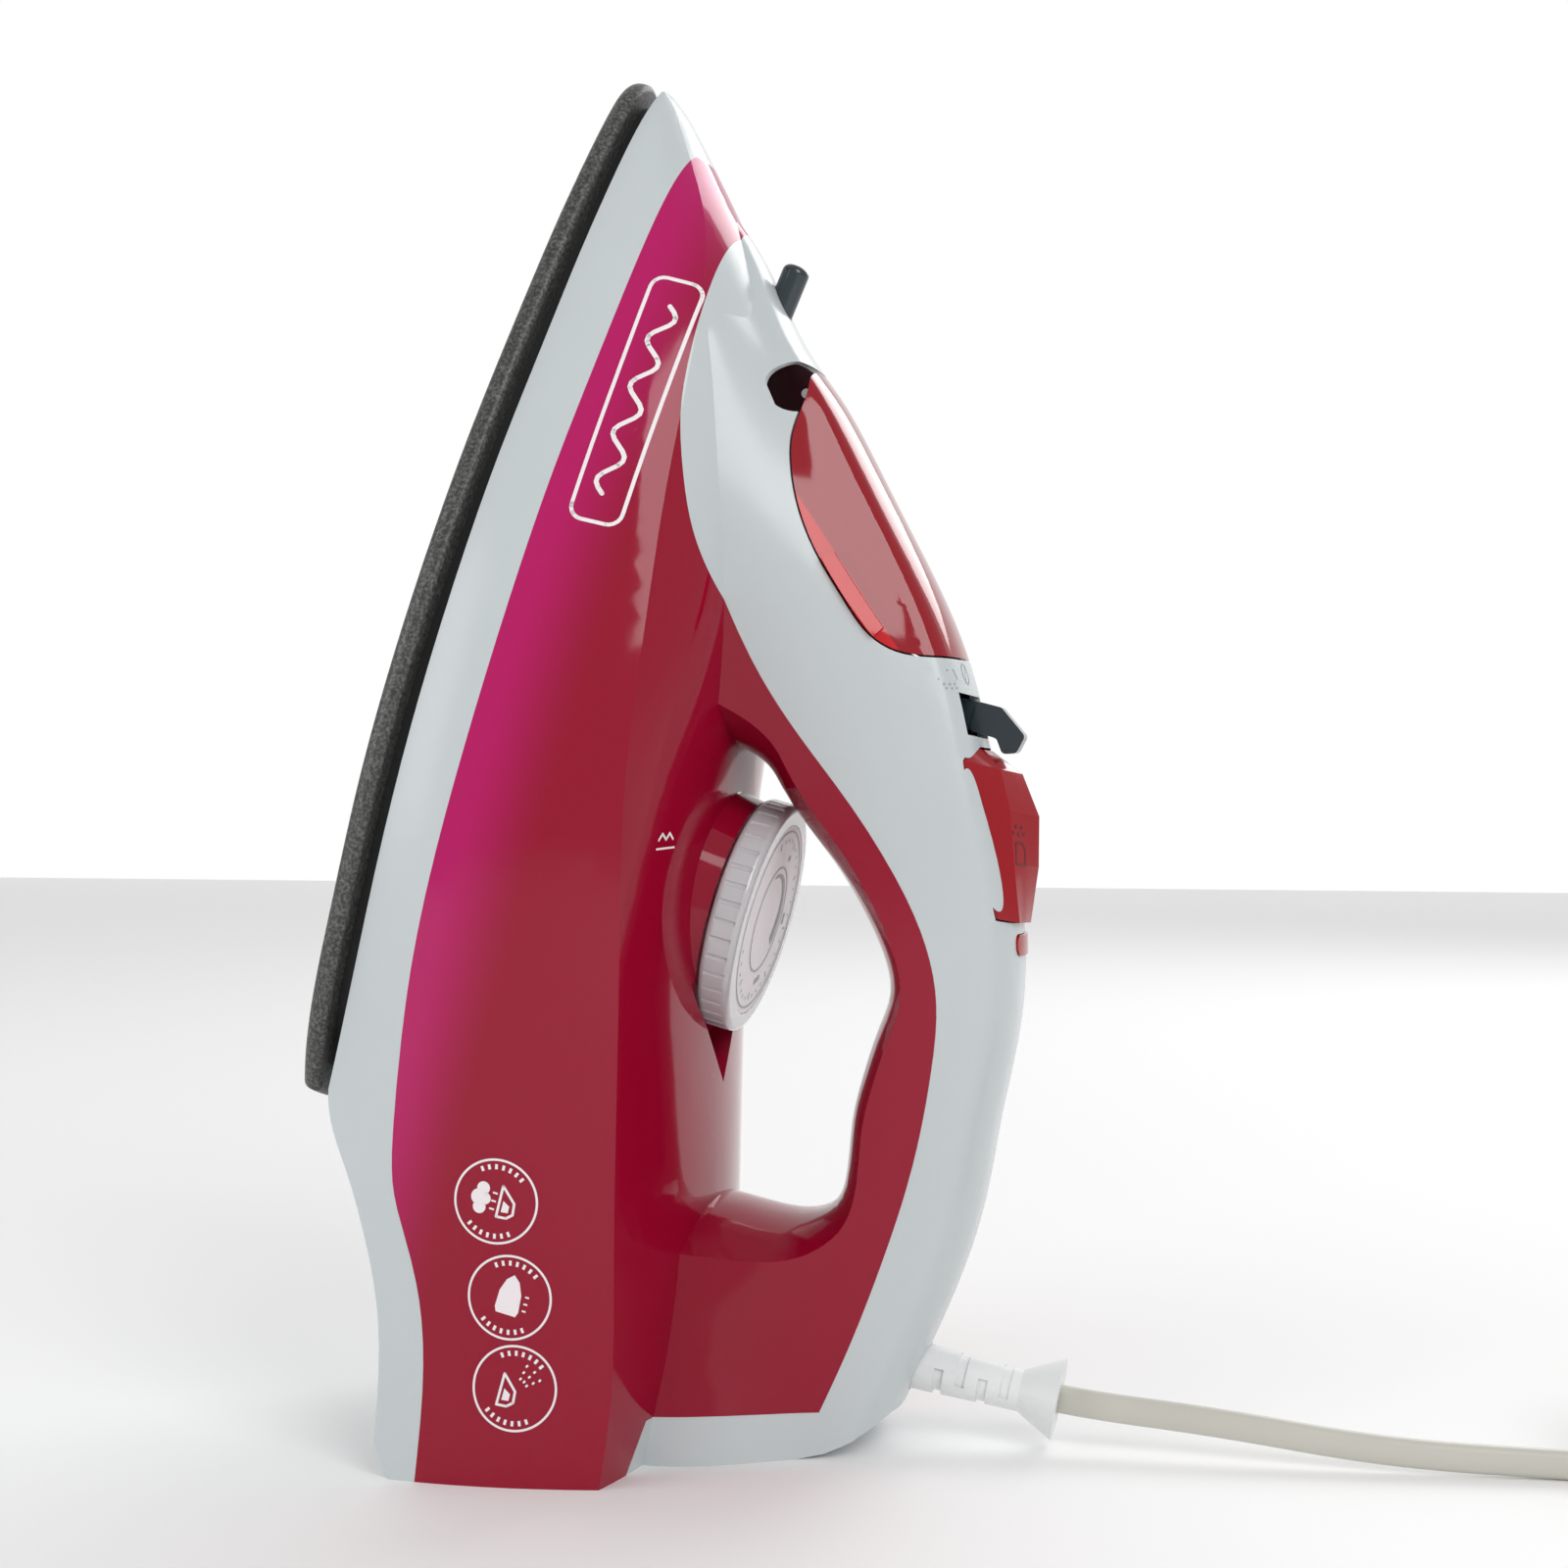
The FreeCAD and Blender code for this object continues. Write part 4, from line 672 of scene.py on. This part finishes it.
def buildCord():
    route = cordRoute() + coilRoute() + tailRoute()
    curve = bpy.data.curves.new("power_cord", "CURVE")
    curve.dimensions = "3D"
    curve.resolution_u = 6
    curve.twist_mode = "Z_UP"
    curve.bevel_mode = "OBJECT"
    curve.bevel_object = cordSection()
    curve.use_fill_caps = True
    spline = curve.splines.new("NURBS")
    spline.points.add(len(route) - 1)
    for point, place in zip(spline.points, route):
        point.co = (*place, 1.0)
        point.tilt = math.radians(90)
    spline.order_u = 3
    spline.use_endpoint_u = True
    cord = bpy.data.objects.new("power_cord", curve)
    bpy.context.collection.objects.link(cord)
    curve.materials.append(materials["cordSleeve"])
    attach(cord, "iron")
    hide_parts("cord_lead", "cord_coil")
    line = sampled(route)
    length = sum((b - a).length for a, b in zip(line[:-1], line[1:]))
    return length


def sampled(route):
    # points of the quadratic spline that the cord follows
    line = [route[0]]
    corners = [route[0]] + [(a + b) / 2 for a, b in zip(route[1:-2], route[2:-1])] + [route[-1]]
    for i, control in enumerate(route[1:-1]):
        first, last = corners[i], corners[i + 1]
        for step in range(1, 13):
            t = step / 12
            line.append(first * (1 - t) ** 2 + control * 2 * t * (1 - t) + last * t ** 2)
    return line


cordLength = buildCord()
print("cord length", round(cordLength, 4))


studio = {"floor": (0.92, 0.92, 0.92), "sky": 0.55, "wall": 1.0, "key": 9.0, "fill": 5.0, "rim": 5.0}


def flatMaterial(name, colour, roughness):
    material, shader, _, _ = startMaterial(name)
    shader.inputs["Base Color"].default_value = (*colour, 1.0)
    shader.inputs["Roughness"].default_value = roughness
    return material


def buildFloor():
    bm = bmesh.new()
    bmesh.ops.create_grid(bm, x_segments=1, y_segments=1, size=3.0)
    mesh = bpy.data.meshes.new("floor")
    bm.to_mesh(mesh)
    bm.free()
    floor = bpy.data.objects.new("floor", mesh)
    bpy.context.collection.objects.link(floor)
    mesh.materials.append(flatMaterial("paleFloor", studio["floor"], 0.6))
    return floor


def buildWall():
    # a bright wall far behind, so that the background is white without lighting the near side
    material = bpy.data.materials.new("brightWall")
    material.use_nodes = True
    nodes = material.node_tree.nodes
    nodes.remove(nodes["Principled BSDF"])
    glow = nodes.new("ShaderNodeEmission")
    glow.inputs["Strength"].default_value = studio["wall"]
    material.node_tree.links.new(glow.outputs["Emission"], nodes["Material Output"].inputs["Surface"])
    bm = bmesh.new()
    made = bmesh.ops.create_grid(bm, x_segments=1, y_segments=1, size=3.0)["verts"]
    bmesh.ops.rotate(bm, matrix=Matrix.Rotation(math.radians(90), 3, "X"), verts=made)
    bmesh.ops.translate(bm, vec=(0.0, 2.6, 2.9), verts=made)
    mesh = bpy.data.meshes.new("wall")
    bm.to_mesh(mesh)
    bm.free()
    wall = bpy.data.objects.new("wall", mesh)
    bpy.context.collection.objects.link(wall)
    mesh.materials.append(material)
    return wall


def softbox(name, place, target, size, power):
    light = bpy.data.lights.new(name, "AREA")
    light.shape = "RECTANGLE"
    light.size, light.size_y = size
    light.energy = power
    lamp = bpy.data.objects.new(name, light)
    lamp.location = place
    lamp.rotation_euler = (Vector(place) - Vector(target)).to_track_quat("Z", "Y").to_euler()
    bpy.context.collection.objects.link(lamp)
    return lamp


def buildCamera():
    # level with the middle of the iron, thirteen degrees round toward the handle
    camera = bpy.data.cameras.new("camera")
    camera.lens = 54.09
    camera.sensor_width = 36.0
    view = bpy.data.objects.new("camera", camera)
    view.location = (0.1267, -0.4823, 0.13595)
    view.rotation_euler = (math.radians(90), 0.0, math.radians(13))
    bpy.context.collection.objects.link(view)
    bpy.context.scene.camera = view


world = bpy.data.worlds.new("studio")
world.use_nodes = True
world.node_tree.nodes["Background"].inputs["Color"].default_value = (1.0, 1.0, 1.0, 1.0)
world.node_tree.nodes["Background"].inputs["Strength"].default_value = studio["sky"]
bpy.context.scene.world = world
bpy.context.scene.view_settings.view_transform = "Standard"
middle = (0.0, 0.0, 0.14)
stagePieces = [
    buildFloor(),
    buildWall(),
    softbox("key", (0.9, -1.0, 0.9), middle, (0.7, 0.9), studio["key"]),
    softbox("fill", (-1.1, -0.8, 0.5), middle, (0.8, 0.8), studio["fill"]),
    softbox("rim", (0.5, 1.1, 0.9), middle, (0.7, 0.7), studio["rim"]),
]
buildCamera()
print("stage set")
